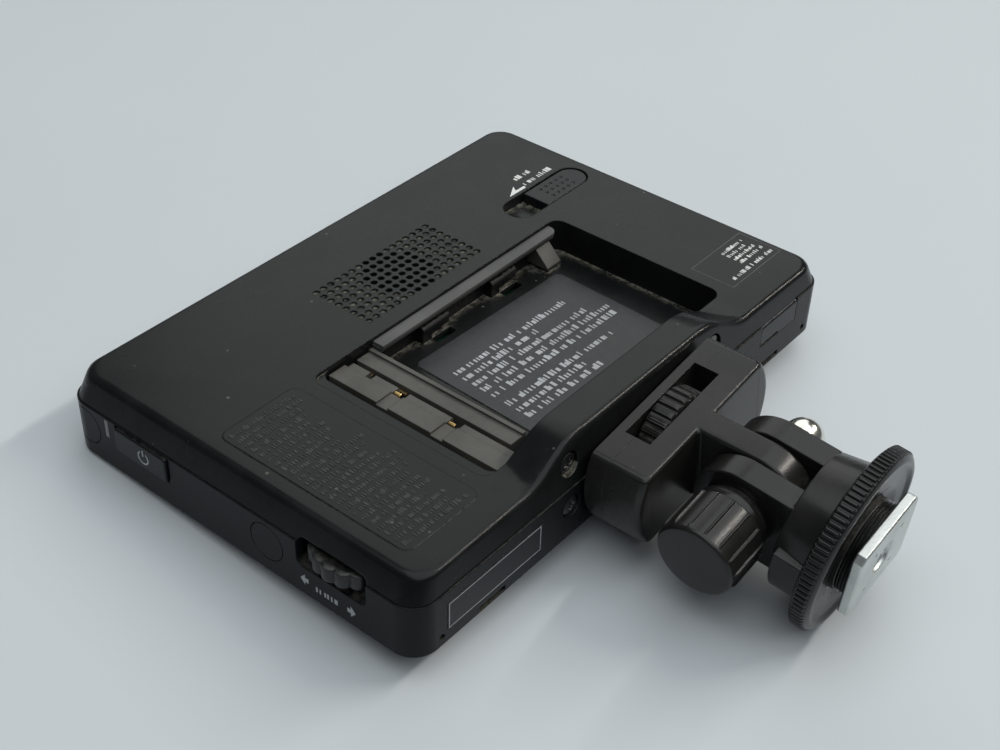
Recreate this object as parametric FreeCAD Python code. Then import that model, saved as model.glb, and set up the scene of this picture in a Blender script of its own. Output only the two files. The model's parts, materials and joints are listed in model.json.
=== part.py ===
"""Clip-on camera field monitor, lying on its screen edge and on the lock ring of its shoe mount.

Monitor axes: X along the picture, Y up the picture, Z out of the back, zero on the bezel's face.
Mount axes: the same directions, with the origin on the thumb screw where the block's rear face is.
Fork axes: the same directions, with the origin on the tilt axis in the middle of the tongue.
All lengths are millimetres and all angles are degrees.
"""
import FreeCAD, Part
import math
import os

V = FreeCAD.Vector

# Shared clearances
overrun = 2.0
seat_gap = 0.1
slide_gap = 0.3
running_gap = 0.05

# Case
case_width = 126.0
case_corner = 5.0
case_wall = 1.8
split_plane = 11.9
back_plane = 16.8
cover_step = 0.3
cover_side_draw = 2.4
cover_end_draw = 0.8
cover_edge_round = 1.1
frame_edge_bevel = 0.7

# Sides of the outlines that stand for small round things, and bands of a rounded edge
hole_sides = 4
hex_sides = 6
pin_sides = 8
head_sides = 16
disc_sides = 24
edge_bands = 3
dome_bands = 4

# Raised ridge of the cover above the shoe mount
hump_rise = 4.9
hump_bay_rise = 3.8
hump_top_length = 35.0
hump_foot_length = 72.0
hump_bend_share = 0.5

# Battery bay
bay_side_room = 55.6
bay_end_room = 44.5
bay_x = 2.7
bay_from_end = 9.3
bay_depth = 7.3
bay_corner = 2.5
bay_wall = 1.4
bay_skin = 1.2
bay_lip_length = 2.4
bay_lip_depth = 0.7

# Hooks that hold the pack, on both long walls of the bay
hook_length = 7.8
hook_reach = 2.0
hook_height = 2.6
hook_roof = 1.2
hook_post = 2.5
hook_shift = 9.1
hook_pitch = 20.9
hook_slot_width = 1.8

# Guide rail on the bay's upper wall
rail_from_bay_end = 14.0
rail_end_room = 16.6
rail_reach = 2.3
rail_thickness = 0.9
rail_end_share = 0.6
rail_drop = 1.3

# Terminal block and its contact blades
terminal_margin = 0.4
terminal_base = 2.0
terminal_slot_width = 3.2
guard_bar_width = 4.2
guard_bar_height = 5.1
guard_bar_short = 3.6
guard_bead_width = 0.9
guard_bead_height = 0.5
outer_bar_width = 4.2
outer_bar_height = 5.8
outer_bar_gap = 1.9
bar_notch_length = 2.8
bar_notch_depth = 0.6
bar_notch_shares = (0.172, -0.141)
contact_thickness = 0.8
contact_length = 2.4
contact_height = 2.2
contact_shares = (0.408, 0.204, -0.049, -0.367)

# Label plate on the bay's floor
label_end_room = 27.4
label_side_room = 8.5
label_thickness = 0.2
label_corner = 1.5
label_shift = 5.9
label_drop = 1.65
label_turn = -2.0

# Speaker grille and speaker
grille_columns = 17
grille_rows = 8
grille_pitch = 2.0
grille_hole_radius = 0.66
grille_dimple_depth = 0.5
grille_open_radius = 7.4
grille_x = 1.25
grille_from_top = 23.9
speaker_radius = 9.5
speaker_depth = 4.2
magnet_radius = 5.5
magnet_depth = 2.0

# Moulded text panel on the back
panel_length = 44.0
panel_width = 18.6
panel_corner = 2.0
panel_rise = 0.15
panel_from_side = 15.5
panel_from_end = 29.4

# Release slider with its recess
slider_recess_length = 25.0
slider_recess_width = 7.4
slider_recess_depth = 2.4
slider_scoop_run = 4.7
slider_from_side = 18.2
slider_from_bay = 7.9
slider_floor = 1.4
slider_floor_margin = 1.4
slider_length = 15.8
slider_sink = 0.15
slider_travel = 4.0
slider_pin_radius = 1.2
slider_pin_shift = 3.2
slider_pin_length = 3.6
slider_dot_radius = 0.35
slider_dot_depth = 0.3
slider_dot_columns = 5
slider_dot_rows = 3
slider_dot_pitch = 1.75
slider_dot_shift = 3.8

# Latch pawl, its guide and its spring
pawl_from_end = 6.7
pawl_width = 4.4
pawl_height = 4.1
pawl_lift = 0.7
pawl_reach = 5.2
pawl_tail = 4.6
pawl_tail_height = 2.6
pawl_tip_height = 0.5
pawl_travel = 3.2
pawl_arm_thickness = 1.4
pawl_arm_lift = 1.0
pawl_arm_margin = 1.3
guide_floor = 1.0
guide_end = 1.2
spring_folds = 4
spring_half = 1.6
spring_leaf = 0.3
spring_height = 2.0
spring_length = 5.6

# Screen
window_side = 6.0
window_end = 8.0
window_thickness = 1.0
window_sink = 0.2
window_corner = 2.0
window_ledge = 0.8
bezel_thickness = 1.6
lcd_side = 6.5
lcd_end = 7.0
lcd_thickness = 3.4
chassis_thickness = 0.6
chassis_rim = 1.2

# Circuit boards
board_side_room = 15.0
board_end_room = 11.0
board_width = 64.0
board_thickness = 1.2
board_x = 4.0
board_y = -2.5
board_standoff = 0.6
board_standoff_half = 1.8
control_board_length = 21.6
control_board_height = 5.6
control_board_thickness = 1.0
control_board_depth = 6.0
control_board_from_top = 20.2

# Power button and its switch
button_length = 13.6
button_height = 5.1
button_proud = 0.6
button_flange = 0.9
button_flange_thickness = 0.8
button_edge_round = 0.35
button_travel = 0.6
button_from_top = 20.7
button_z = 8.95
switch_size = 3.6
switch_plunger_radius = 0.9
switch_stroke_gap = 0.1
switch_body_depth = 1.5

# Power light
light_length = 0.9
light_height = 3.9
light_from_top = 11.1
light_z = 9.5

# Screw caps on the control side and the case screws under them
cap_radius = 3.85
cap_thickness = 0.5
cap_from_top = 5.2
cap_from_end = 33.8
cap_z = 7.3
case_boss_size = 6.6
case_boss_depth = 5.0
case_screw_radius = 1.1
case_screw_length = 5.4
case_screw_head_radius = 1.9
case_screw_head = 0.9

# Jog wheel, its carrier and its base
jog_radius = 9.0
jog_proud = 1.4
jog_thickness = 3.2
jog_low = 8.7
jog_from_end = 18.8
jog_teeth = 18
jog_tooth_depth = 0.6
jog_axle_radius = 1.5
jog_opening_length = 15.9
jog_opening_low = 6.9
jog_opening_high = 12.9
jog_opening_round = 1.4
jog_scoop_run = 2.3
jog_scoop_rise = 1.3
jog_carrier_thickness = 1.2
jog_carrier_length = 15.0
jog_carrier_start = 4.2
jog_carrier_end = 15.6
jog_base_thickness = 1.4
jog_push = 0.6

# Side screws, tripod socket bracket
side_screw_x = 22.4
side_screw_low = 7.5
side_screw_high = 16.6
side_screw_head_radius = 1.95
side_screw_head = 1.1
side_screw_well_radius = 2.45
side_screw_well = 1.3
side_screw_radius = 1.2
side_screw_length = 3.4
cross_width = 0.5
cross_length = 2.2
cross_depth = 0.6
bracket_length = 50.0
bracket_low = 4.8
bracket_high = 18.6
bracket_thickness = 1.5
hub_radius = 5.0
hub_length = 4.7

# Socket cover and video socket
door_length = 13.4
door_height = 4.9
door_from_side = 17.0
door_top = 11.8
door_thickness = 1.2
door_nail_length = 6.5
door_nail_depth = 0.5
door_nail_height = 0.6
socket_length = 11.4
socket_height = 3.6
socket_depth = 7.5
socket_skin = 0.4
socket_tongue = 0.6

# Hood slots and locating holes along the lower edge
hood_slot_length = 6.8
hood_slot_height = 1.2
hood_slot_depth = 0.9
hood_slot_from_side = 19.1
hood_slot_z = 1.6
dot_radius = 0.75
dot_depth = 0.7
dot_from_side = 6.2
dot_z = 2.6

# Mount block
mount_z = 12.35
mount_roll = 8.1
pad_thickness = 0.8
pad_inset = 1.5
block_flat_length = 35.4
block_bulge = 2.8
block_depth = 11.7
block_height = 16.7
block_split = 3.85
block_end_round = 1.4
wheel_slot_length = 21.2
wheel_slot_near = 1.8
wheel_slot_width = 5.2
block_screw_x = 14.5
block_screw_radius = 1.2
block_screw_length = 8.0
block_screw_head_radius = 2.0
block_screw_head = 1.2

# Thumb wheel and its screw
wheel_radius = 9.3
wheel_thickness = 4.6
wheel_teeth = 28
wheel_tooth_depth = 0.6
screw_radius = 3.175
screw_reach = 6.2
screw_tail_radius = 2.0
screw_tail = 2.4

# Tilt joint
tongue_width = 5.5
tilt_radius = 9.1
tilt_reach = 23.3
tilt_drop = 0.75
tilt_angle = 6.1
bolt_radius = 2.0
washer_thickness = 0.3
washer_radius = 7.0
prong_width = 4.9

# Fork base with its threaded boss
base_gap = 0.3
base_length = 6.6
base_radius = 11.9
base_rear_radius = 13.0
base_pad_width = 10.0
base_pad_rise = 0.9
base_pad_drop = 1.8
base_pad_start = 0.8
boss_radius = 9.0
boss_neck = 0.5
boss_root = 1.0

# Lock ring
ring_gap = 0.3
ring_radius = 17.6
ring_thickness = 3.8
ring_teeth = 96
ring_tooth_depth = 0.45
ring_rim = 1.5
ring_dish_depth = 0.5
ring_mouth = 2.15
ring_mouth_depth = 1.0

# Shoe foot
foot_width = 18.6
foot_length = 16.5
foot_thickness = 2.0
foot_gap = 1.9
foot_corner = 1.2
foot_edge = 0.25
rivet_radius = 2.2
rivet_sink = 0.4
rivet_hold = 4.0

# Tilt knob, its washer and the cap nut
knob_radius = 7.5
knob_length = 10.2
knob_cap_crown = 0.35
knob_edge_round = 0.8
knob_ribs = 15
knob_rib_width = 0.9
knob_rib_rise = 0.4
knob_rib_length = 9.2
knob_collar_radius = 6.9
knob_collar = 2.4
knob_washer = 0.7
knob_washer_radius = 6.2
nut_collar_radius = 4.7
nut_collar = 1.3
nut_radius = 3.9
nut_barrel = 4.1
dome_turn = 80.0

# Places worked out from the sizes above
case_height = board_width + 2 * board_end_room
front_face = -case_height / 2
top_face = case_height / 2
left_face = -case_width / 2
right_face = case_width / 2
cover_slope_share = cover_end_draw / (back_plane - split_plane)
board_length = case_width - 2 * board_side_room
window_length = case_width - 2 * window_side
window_width = case_height - 2 * window_end
lcd_length = case_width - 2 * lcd_side
lcd_width = case_height - 2 * lcd_end
bay_length = case_width - bay_side_room
bay_width = case_height - bay_end_room
bay_y = front_face + bay_from_end + bay_width / 2
bay_floor = back_plane - bay_depth
bay_left = bay_x - bay_length / 2
bay_right = bay_x + bay_length / 2
bay_low = bay_y - bay_width / 2
bay_high = bay_y + bay_width / 2
hook_x = bay_x - hook_shift
rail_x = bay_left + rail_from_bay_end
rail_length = bay_length - rail_end_room
label_length = bay_length - label_end_room
label_width = bay_width - label_side_room
label_x = bay_x + label_shift
label_y = bay_y - label_drop
grille_y = top_face - grille_from_top
panel_x = left_face + panel_from_side
panel_y = front_face + panel_from_end
slider_recess_x = right_face - slider_from_side
slider_pin_x = slider_recess_x + slider_pin_shift
slider_dot_x = slider_recess_x + slider_dot_shift
slider_y = bay_high + slider_from_bay
pawl_x = bay_right - pawl_from_end
control_board_y = top_face - control_board_from_top
button_y = top_face - button_from_top
light_y = top_face - light_from_top
cap_places = (top_face - cap_from_top, front_face + cap_from_end)
jog_y = front_face + jog_from_end
door_x = right_face - door_from_side
hood_slot_x = right_face - hood_slot_from_side
dot_x = right_face - dot_from_side
hump_top = back_plane + hump_rise
mount_face = front_face - seat_gap - pad_thickness
chassis_low = bezel_thickness + lcd_thickness
chassis_high = chassis_low + chassis_thickness
board_low = chassis_high + board_standoff
board_high = board_low + board_thickness
jog_x = left_face - jog_proud + jog_radius
slider_floor_plane = back_plane - slider_recess_depth
pawl_low = bay_floor + pawl_lift
prong_inner = tongue_width / 2 + washer_thickness + 2 * running_gap
prong_outer = prong_inner + prong_width
base_start = tilt_radius + base_gap
base_end = base_start + base_length
ring_start = base_end + ring_gap
ring_end = ring_start + ring_thickness
foot_start = ring_end + foot_gap
foot_end = foot_start + foot_thickness


# Shape helpers

def brick(x0, x1, y0, y1, z0, z1):
    """Rectangular solid between two opposite corners."""
    return Part.makeBox(x1 - x0, y1 - y0, z1 - z0, V(x0, y0, z0))


def rod(radius, start, along, length):
    """Round bar from a start point along a direction."""
    return Part.makeCylinder(radius, length, start, along)


def flat(points):
    """Flat face inside a closed outline of straight edges."""
    return Part.Face(Part.makePolygon(points + points[:1]))


def ring_points(sides, radius, height):
    """Corners of a regular outline about Z, at a height."""
    turns = [2 * math.pi * side / sides for side in range(sides)]
    return [V(radius * math.cos(turn), radius * math.sin(turn), height) for turn in turns]


def facet_rod(sides, radius, start, along, length):
    """Bar whose round outline has a few flat sides, for small things that repeat or stay hidden."""
    bar = flat(ring_points(sides, radius, 0)).extrude(V(0, 0, length))
    bar.Placement = FreeCAD.Placement(start, FreeCAD.Rotation(V(0, 0, 1), along))
    return bar


def rounded_outline(half_x, half_y, radius, z, cx=0.0, cy=0.0):
    """Closed outline of a rectangle with round corners, at height z."""
    edges = []
    ix = half_x - radius
    iy = half_y - radius
    corners = ((ix, -iy, -90), (ix, iy, 0), (-ix, iy, 90), (-ix, -iy, 180))
    sides = (
        ((half_x, -iy), (half_x, iy)),
        ((ix, half_y), (-ix, half_y)),
        ((-half_x, iy), (-half_x, -iy)),
        ((-ix, -half_y), (ix, -half_y)),
    )
    for (px, py, turn), (start, end) in zip(corners, sides):
        centre = V(cx + px, cy + py, z)
        edges.append(Part.makeCircle(radius, centre, V(0, 0, 1), turn, turn + 90))
        edges.append(Part.makeLine(V(cx + start[0], cy + start[1], z), V(cx + end[0], cy + end[1], z)))
    return Part.Wire(edges)


def slab(half_x, half_y, radius, z0, z1, cx=0.0, cy=0.0):
    """Upright prism on a rounded rectangle."""
    return Part.Face(rounded_outline(half_x, half_y, radius, z0, cx, cy)).extrude(V(0, 0, z1 - z0))


def stadium(length, width, z0, z1, cx, cy):
    """Upright prism on a slot outline with half-round ends along X."""
    radius = width / 2
    reach = length / 2 - radius
    right = Part.makeCircle(radius, V(cx + reach, cy, z0), V(0, 0, 1), -90, 90)
    top = Part.makeLine(V(cx + reach, cy + radius, z0), V(cx - reach, cy + radius, z0))
    left = Part.makeCircle(radius, V(cx - reach, cy, z0), V(0, 0, 1), 90, 270)
    low = Part.makeLine(V(cx - reach, cy - radius, z0), V(cx + reach, cy - radius, z0))
    return Part.Face(Part.Wire([right, top, left, low])).extrude(V(0, 0, z1 - z0))


def facet_turned(sides, points):
    """Solid about Z with a few flat sides, through points of radius and height that only rise."""
    rings = [ring_points(sides, radius, height) for radius, height in points]
    outlines = [rings[0], rings[-1]]
    for low, high in zip(rings, rings[1:]):
        outlines += [[low[side - 1], low[side], high[side], high[side - 1]] for side in range(sides)]
    return Part.Solid(Part.Shell([flat(outline) for outline in outlines]))


def aim_out(shape):
    """Turns a shape's +Z to point out of the mount, along -Y."""
    shape.rotate(V(0, 0, 0), V(1, 0, 0), 90)
    return shape


def aim_left(shape):
    """Turns a shape's +Z to point along -X."""
    shape.rotate(V(0, 0, 0), V(0, 1, 0), -90)
    return shape


def aim_right(shape):
    """Turns a shape's +Z to point along +X."""
    shape.rotate(V(0, 0, 0), V(0, 1, 0), 90)
    return shape


def toothed_disc(radius, depth, teeth, thickness):
    """Disc with pointed teeth round its rim, standing on Z zero."""
    tips = ring_points(2 * teeth, radius, 0)[::2]
    roots = ring_points(2 * teeth, radius - depth, 0)[1::2]
    points = [corner for pair in zip(tips, roots) for corner in pair]
    return flat(points).extrude(V(0, 0, thickness))


def fillet_where(shape, radius, chosen):
    """Rounds the edges for which the test holds."""
    return shape.makeFillet(radius, [edge for edge in shape.Edges if chosen(edge)])


def plain_screw(radius, length, head_radius, head):
    """Screw along Z: shank below zero, head above it."""
    top = facet_rod(head_sides, head_radius, V(0, 0, 0), V(0, 0, 1), head)
    return top.fuse(facet_rod(pin_sides, radius, V(0, 0, -length), V(0, 0, 1), length))


def cross_screw(radius, length, head_radius, head):
    """Screw along Z with a cross recess in its head."""
    body = plain_screw(radius, length, head_radius, head)
    low = head - cross_depth
    for along, across in ((cross_length, cross_width), (cross_width, cross_length)):
        body = body.cut(brick(-along / 2, along / 2, -across / 2, across / 2, low, head + overrun))
    return body.removeSplitter()


# Case

def cover_outline(inset, height):
    """Outline of the drafted cover at a height, drawn in by an inset."""
    rise = (height - split_plane) / (back_plane - split_plane)
    reach = cover_step + inset
    half_x = case_width / 2 - reach - cover_side_draw * rise
    half_y = case_height / 2 - reach - cover_end_draw * rise
    return rounded_outline(half_x, half_y, case_corner - reach, height)


def round_bands(radius):
    """Insets and drops of the bands that turn a round edge over, from its side to its top."""
    turns = [math.pi / 2 * band / edge_bands for band in range(edge_bands + 1)]
    return [(radius * (1 - math.cos(turn)), radius * (1 - math.sin(turn))) for turn in turns]


def cover_body():
    """Outside of the cover: drafted sides that turn over into the flat back."""
    outlines = [cover_outline(0.0, split_plane)]
    outlines += [cover_outline(inset, back_plane - drop) for inset, drop in round_bands(cover_edge_round)]
    return Part.makeLoft(outlines, True, True)


def hump_outline(depth, rise):
    """Outline of the ridge at a depth behind the drafted lower face, with an S-shaped flank at each end."""
    foot = hump_foot_length / 2
    flat = hump_top_length / 2
    bend = (foot - flat) * hump_bend_share
    low = back_plane + rise - hump_rise
    high = back_plane + rise

    def spot(x, z):
        return V(x, front_face + cover_step + depth + cover_slope_share * (z - split_plane), z)

    left = Part.BezierCurve()
    left.setPoles([spot(-foot, low), spot(-foot + bend, low), spot(-flat - bend, high), spot(-flat, high)])
    right = Part.BezierCurve()
    right.setPoles([spot(flat, high), spot(flat + bend, high), spot(foot - bend, low), spot(foot, low)])
    return Part.Wire([
        Part.makeLine(spot(-foot, split_plane), spot(-foot, low)),
        left.toShape(),
        Part.makeLine(spot(-flat, high), spot(flat, high)),
        right.toShape(),
        Part.makeLine(spot(foot, low), spot(foot, split_plane)),
        Part.makeLine(spot(foot, split_plane), spot(-foot, split_plane)),
    ])


def cover_hump():
    """Ridge of the cover between the battery bay and the mount, its crest turned over like the cover's edge."""
    outlines = [hump_outline(inset, hump_rise - drop) for inset, drop in round_bands(cover_edge_round)]
    outlines.append(hump_outline(bay_low - front_face - cover_step, hump_bay_rise))
    return Part.makeLoft(outlines, True, True)


def bay_tub():
    """Outside of the battery bay's walls and floor."""
    low = bay_floor - bay_skin
    high = back_plane - cover_edge_round
    return brick(bay_left - bay_wall, bay_right + bay_wall, bay_low - bay_wall, bay_high + bay_wall, low, high)


def bay_space():
    """Hollow of the battery bay with the shallow lip at its terminal end."""
    top = hump_top + overrun
    space = slab(bay_length / 2, bay_width / 2, bay_corner, bay_floor, top, bay_x, bay_y)
    lip_x = bay_x - bay_lip_length / 2
    lip_half = (bay_length + bay_lip_length) / 2
    lip_low = back_plane - bay_lip_depth
    return space.fuse(slab(lip_half, bay_width / 2, bay_corner, lip_low, top, lip_x, bay_y))


def bay_hooks():
    """Hooks on both long walls: a post on the floor with a roof that overhangs it."""
    solids = []
    top = bay_floor + hook_height
    walls = (
        (bay_high + bay_wall / 2, bay_high - hook_reach),
        (bay_low - bay_wall / 2, bay_low + hook_reach),
    )
    for number in range(2):
        start = hook_x + number * hook_pitch
        for wall, inner in walls:
            y0, y1 = sorted((wall, inner))
            solids.append(brick(start, start + hook_post, y0, y1, bay_floor - bay_skin / 2, top))
            solids.append(brick(start, start + hook_length, y0, y1, top - hook_roof, top))
    return solids


def bay_slots():
    """Core slots through the floor beside each hook."""
    solids = []
    for number in range(2):
        start = hook_x + number * hook_pitch + hook_post
        end = start + hook_length - hook_post + seat_gap
        low = bay_floor - bay_skin - overrun
        for y0 in (bay_high - hook_reach - hook_slot_width, bay_low + hook_reach):
            solids.append(brick(start, end, y0, y0 + hook_slot_width, low, bay_floor + seat_gap))
    return solids


def grille_holes():
    """Square grid of holes: open over the speaker's cone, blind dimples round it."""
    solids = []
    for column in range(grille_columns):
        for row in range(grille_rows):
            dx = (column - (grille_columns - 1) / 2) * grille_pitch
            dy = (row - (grille_rows - 1) / 2) * grille_pitch
            opened = math.hypot(dx, dy) < grille_open_radius
            depth = case_wall + overrun if opened else grille_dimple_depth
            start = V(grille_x + dx, grille_y + dy, back_plane - depth)
            solids.append(facet_rod(hole_sides, grille_hole_radius, start, V(0, 0, 1), depth + overrun))
    return solids


def slider_floor_boss():
    """Thickened floor under the release slider's recess."""
    half_x = slider_recess_length / 2 + slider_floor_margin
    half_y = slider_recess_width / 2 + slider_floor_margin
    low = slider_floor_plane - slider_floor
    high = back_plane - cover_edge_round
    x = slider_recess_x
    return brick(x - half_x, x + half_x, slider_y - half_y, slider_y + half_y, low, high)


def slider_cuts():
    """Recess of the release slider with a finger scoop at one end, and the slot for the slider's pin."""
    floor = slider_floor_plane
    top = back_plane + overrun
    recess = stadium(slider_recess_length, slider_recess_width, floor, top, slider_recess_x, slider_y)
    run = slider_scoop_run
    bend = (run * run + slider_recess_depth * slider_recess_depth) / (2 * slider_recess_depth)
    scoop_x = slider_recess_x - slider_recess_length / 2 + run
    half = slider_recess_width
    scoop = rod(bend, V(scoop_x, slider_y - half, floor + bend), V(0, 1, 0), 2 * half)
    level = brick(scoop_x, right_face, slider_y - half, slider_y + half, floor - overrun, top + overrun)
    recess = recess.common(scoop.fuse(level))
    width = 2 * (slider_pin_radius + slide_gap)
    low = floor - slider_floor - overrun
    slot_x = slider_pin_x - slider_travel / 2
    slot = stadium(slider_travel + width, width, low, floor + overrun, slot_x, slider_y)
    return [recess, slot]


def latch_guide():
    """Floor and end stop behind the bay's upper wall that carry the pawl and its spring."""
    half = pawl_width / 2 + slide_gap
    start = bay_high + bay_wall / 2
    stop = bay_high + pawl_tail + running_gap + spring_length
    floor_top = pawl_low - running_gap
    floor_low = floor_top - guide_floor
    floor_solid = brick(pawl_x - half, pawl_x + half, start, stop + guide_end, floor_low, floor_top)
    half = pawl_width / 2 - slide_gap
    end_top = pawl_low + pawl_tail_height
    end_solid = brick(pawl_x - half, pawl_x + half, stop, stop + guide_end, floor_low, end_top)
    return [floor_solid, end_solid]


def pawl_opening():
    """Opening in the bay's upper wall for the pawl."""
    half = pawl_width / 2 + slide_gap
    low = pawl_low - running_gap
    high = pawl_low + pawl_height + slide_gap
    return brick(pawl_x - half, pawl_x + half, bay_high - overrun, bay_high + bay_wall + overrun, low, high)


def jog_opening():
    """Rounded opening for the jog wheel across the split of the case."""
    centre_z = (jog_opening_low + jog_opening_high) / 2
    half_z = (jog_opening_high - jog_opening_low) / 2
    cut = slab(half_z, jog_opening_length / 2, jog_opening_round, 0.0, case_wall + overrun + cover_side_draw)
    cut.rotate(V(0, 0, 0), V(0, 1, 0), 90)
    cut.translate(V(left_face - overrun / 2, jog_y, centre_z))
    return cut


def face_draw(height):
    """How far the lower face is drawn in at a height."""
    above = height - split_plane
    return cover_step + cover_slope_share * above if above > 0 else 0.0


def screw_seat(height):
    """Y of the seat under a side screw's head."""
    return front_face + face_draw(height) + side_screw_well


def screw_wells(height):
    """Counterbored holes of the side screws at a height on the lower face."""
    solids = []
    for x in (-side_screw_x, side_screw_x):
        start = V(x, front_face - overrun, height)
        seat = screw_seat(height) - start.y
        solids.append(facet_rod(head_sides, side_screw_well_radius, start, V(0, 1, 0), seat))
        length = seat + side_screw_length + seat_gap
        solids.append(facet_rod(pin_sides, side_screw_radius + seat_gap, start, V(0, 1, 0), length))
    return solids


def bracket_face():
    """Y of the socket bracket's outer face, behind the drawn-in cover."""
    return front_face + case_wall + cover_step + cover_end_draw


def bracket_ledge():
    """Thickened stretch of the frame's lower wall that the bracket bears on."""
    half = bracket_length / 2
    return brick(-half, half, front_face + case_wall / 2, bracket_face(), bracket_low, split_plane)


def bracket_room():
    """Pocket behind the lower face for the socket bracket and its hub."""
    half = bracket_length / 2 + seat_gap
    inner = bracket_face()
    back = inner + bracket_thickness + seat_gap
    plate = brick(-half, half, inner, back, bracket_low - seat_gap, bracket_high + seat_gap)
    hub = facet_rod(hex_sides, hub_radius + seat_gap, V(0, inner, mount_z), V(0, 1, 0), hub_length + seat_gap)
    start = V(0, front_face - overrun, mount_z)
    mouth = facet_rod(head_sides, screw_radius + slide_gap, start, V(0, 1, 0), inner + hub_length - front_face)
    return [plate, hub, mouth]


def case_bosses():
    """Posts of the cover behind the control side that take the case screws."""
    solids = []
    x0 = left_face + case_wall + seat_gap
    low = chassis_high + seat_gap
    high = back_plane - case_wall + seat_gap
    wall = case_wall + seat_gap
    inside = slab(case_width / 2 - wall, case_height / 2 - wall, case_corner - wall, low, high)
    for y in cap_places:
        half = case_boss_size / 2
        solids.append(brick(x0, x0 + case_boss_depth, y - half, y + half, low, high).common(inside))
    return solids


def case_screw_holes():
    """Threaded holes in the case posts."""
    length = overrun + case_wall + case_boss_depth
    return [
        facet_rod(pin_sides, case_screw_radius, V(left_face - overrun, y, cap_z), V(1, 0, 0), length)
        for y in cap_places
    ]


def text_panel():
    """Slightly raised rounded panel beside the bay."""
    low = back_plane - panel_rise
    high = back_plane + panel_rise
    return slab(panel_width / 2, panel_length / 2, panel_corner, low, high, panel_x, panel_y)


def make_back_cover():
    """Back cover: drafted shell, ridge, battery bay, grille, slider recess and posts."""
    hollow = Part.makeLoft(
        [cover_outline(case_wall, split_plane), cover_outline(case_wall, back_plane - case_wall)], True, True
    )
    shell = cover_body().cut(hollow)
    added = [cover_hump(), bay_tub(), slider_floor_boss(), text_panel()] + latch_guide() + case_bosses()
    inside = brick(-case_width, case_width, front_face + case_wall, case_height, 0.0, hump_top + overrun)
    shell = shell.multiFuse(added)
    shell = shell.cut(bay_space())
    shell = shell.multiFuse([hook.common(inside) for hook in bay_hooks()])
    cuts = bay_slots() + grille_holes() + slider_cuts() + [pawl_opening(), jog_opening()]
    cuts += screw_wells(side_screw_high) + bracket_room() + case_screw_holes()
    return shell.cut(Part.Compound(cuts)).removeSplitter()


def button_opening():
    """Opening of the power button through the control side."""
    half_y = button_length / 2 + slide_gap
    half_z = button_height / 2 + slide_gap
    return brick(left_face - overrun, left_face + case_wall + overrun, button_y - half_y, button_y + half_y,
                 button_z - half_z, button_z + half_z)


def light_opening():
    """Slit of the power light through the control side."""
    half_y = light_length / 2
    half_z = light_height / 2
    return brick(left_face - overrun, left_face + case_wall + overrun, light_y - half_y, light_y + half_y,
                 light_z - half_z, light_z + half_z)


def cap_wells():
    """Recesses of the screw caps with room for the screw heads below them."""
    solids = []
    for y in cap_places:
        start = V(left_face - overrun, y, cap_z)
        seat = overrun + cap_thickness
        stages = (
            (disc_sides, cap_radius, seat),
            (head_sides, case_screw_head_radius, seat + case_screw_head),
            (pin_sides, case_screw_radius, seat + case_wall + overrun),
        )
        for sides, radius, depth in stages:
            solids.append(facet_rod(sides, radius + seat_gap, start, V(1, 0, 0), depth))
    return solids


def jog_scoop():
    """Sloped finger scoop under the jog wheel."""
    x0 = left_face + case_wall / 2
    x1 = x0 + jog_scoop_run
    low = jog_opening_low - jog_scoop_rise
    high = jog_opening_low + jog_scoop_rise
    points = [V(x0, 0, low), V(x1, 0, low), V(x1, 0, high), V(x0, 0, jog_opening_low)]
    scoop = flat(points).extrude(V(0, jog_opening_length, 0))
    scoop.translate(V(0, jog_y - jog_opening_length / 2, 0))
    return scoop


def door_opening():
    """Opening behind the socket cover."""
    half = door_length / 2 + seat_gap
    low = door_top - door_height - seat_gap
    return brick(door_x - half, door_x + half, front_face - overrun, front_face + case_wall + overrun,
                 low, door_top + seat_gap)


def hood_slots():
    """Two slots low on the lower face for a sun hood."""
    solids = []
    for x in (-hood_slot_x, hood_slot_x):
        half = hood_slot_length / 2
        high = hood_slot_z + hood_slot_height / 2
        low = hood_slot_z - hood_slot_height / 2
        solids.append(brick(x - half, x + half, front_face - overrun, front_face + hood_slot_depth, low, high))
    return solids


def locating_holes():
    """Two small blind holes near the ends of the lower face."""
    solids = []
    for x in (-dot_x, dot_x):
        start = V(x, front_face - overrun, dot_z)
        solids.append(facet_rod(pin_sides, dot_radius, start, V(0, 1, 0), overrun + dot_depth))
    return solids


def make_front_frame():
    """Front frame: bevelled ring of side walls with the bezel and every side opening."""
    half_x = case_width / 2
    half_y = case_height / 2
    low = rounded_outline(half_x - frame_edge_bevel, half_y - frame_edge_bevel, case_corner, 0.0)
    high = rounded_outline(half_x, half_y, case_corner, frame_edge_bevel)
    body = Part.makeLoft([low, high], True, True)
    body = body.fuse(slab(half_x, half_y, case_corner, frame_edge_bevel, split_plane))
    inner = case_corner - case_wall
    body = body.cut(slab(half_x - case_wall, half_y - case_wall, inner, bezel_thickness, split_plane + overrun))
    ledge_x = window_length / 2 - window_ledge
    ledge_y = window_width / 2 - window_ledge
    body = body.cut(slab(ledge_x, ledge_y, window_corner, -overrun, bezel_thickness + overrun))
    seat_x = window_length / 2 + seat_gap
    seat_y = window_width / 2 + seat_gap
    body = body.cut(slab(seat_x, seat_y, window_corner, -overrun, window_sink + window_thickness))
    body = body.multiFuse([jog_scoop(), bracket_ledge()])
    cuts = [button_opening(), light_opening(), jog_mouth(), door_opening()] + cap_wells() + hood_slots()
    cuts += screw_wells(side_screw_low) + bracket_room() + locating_holes()
    return body.cut(Part.Compound(cuts)).removeSplitter()


def jog_mouth():
    """Part of the jog opening above the scoop's slope."""
    return jog_opening().cut(jog_scoop())


# Screen and boards

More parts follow.
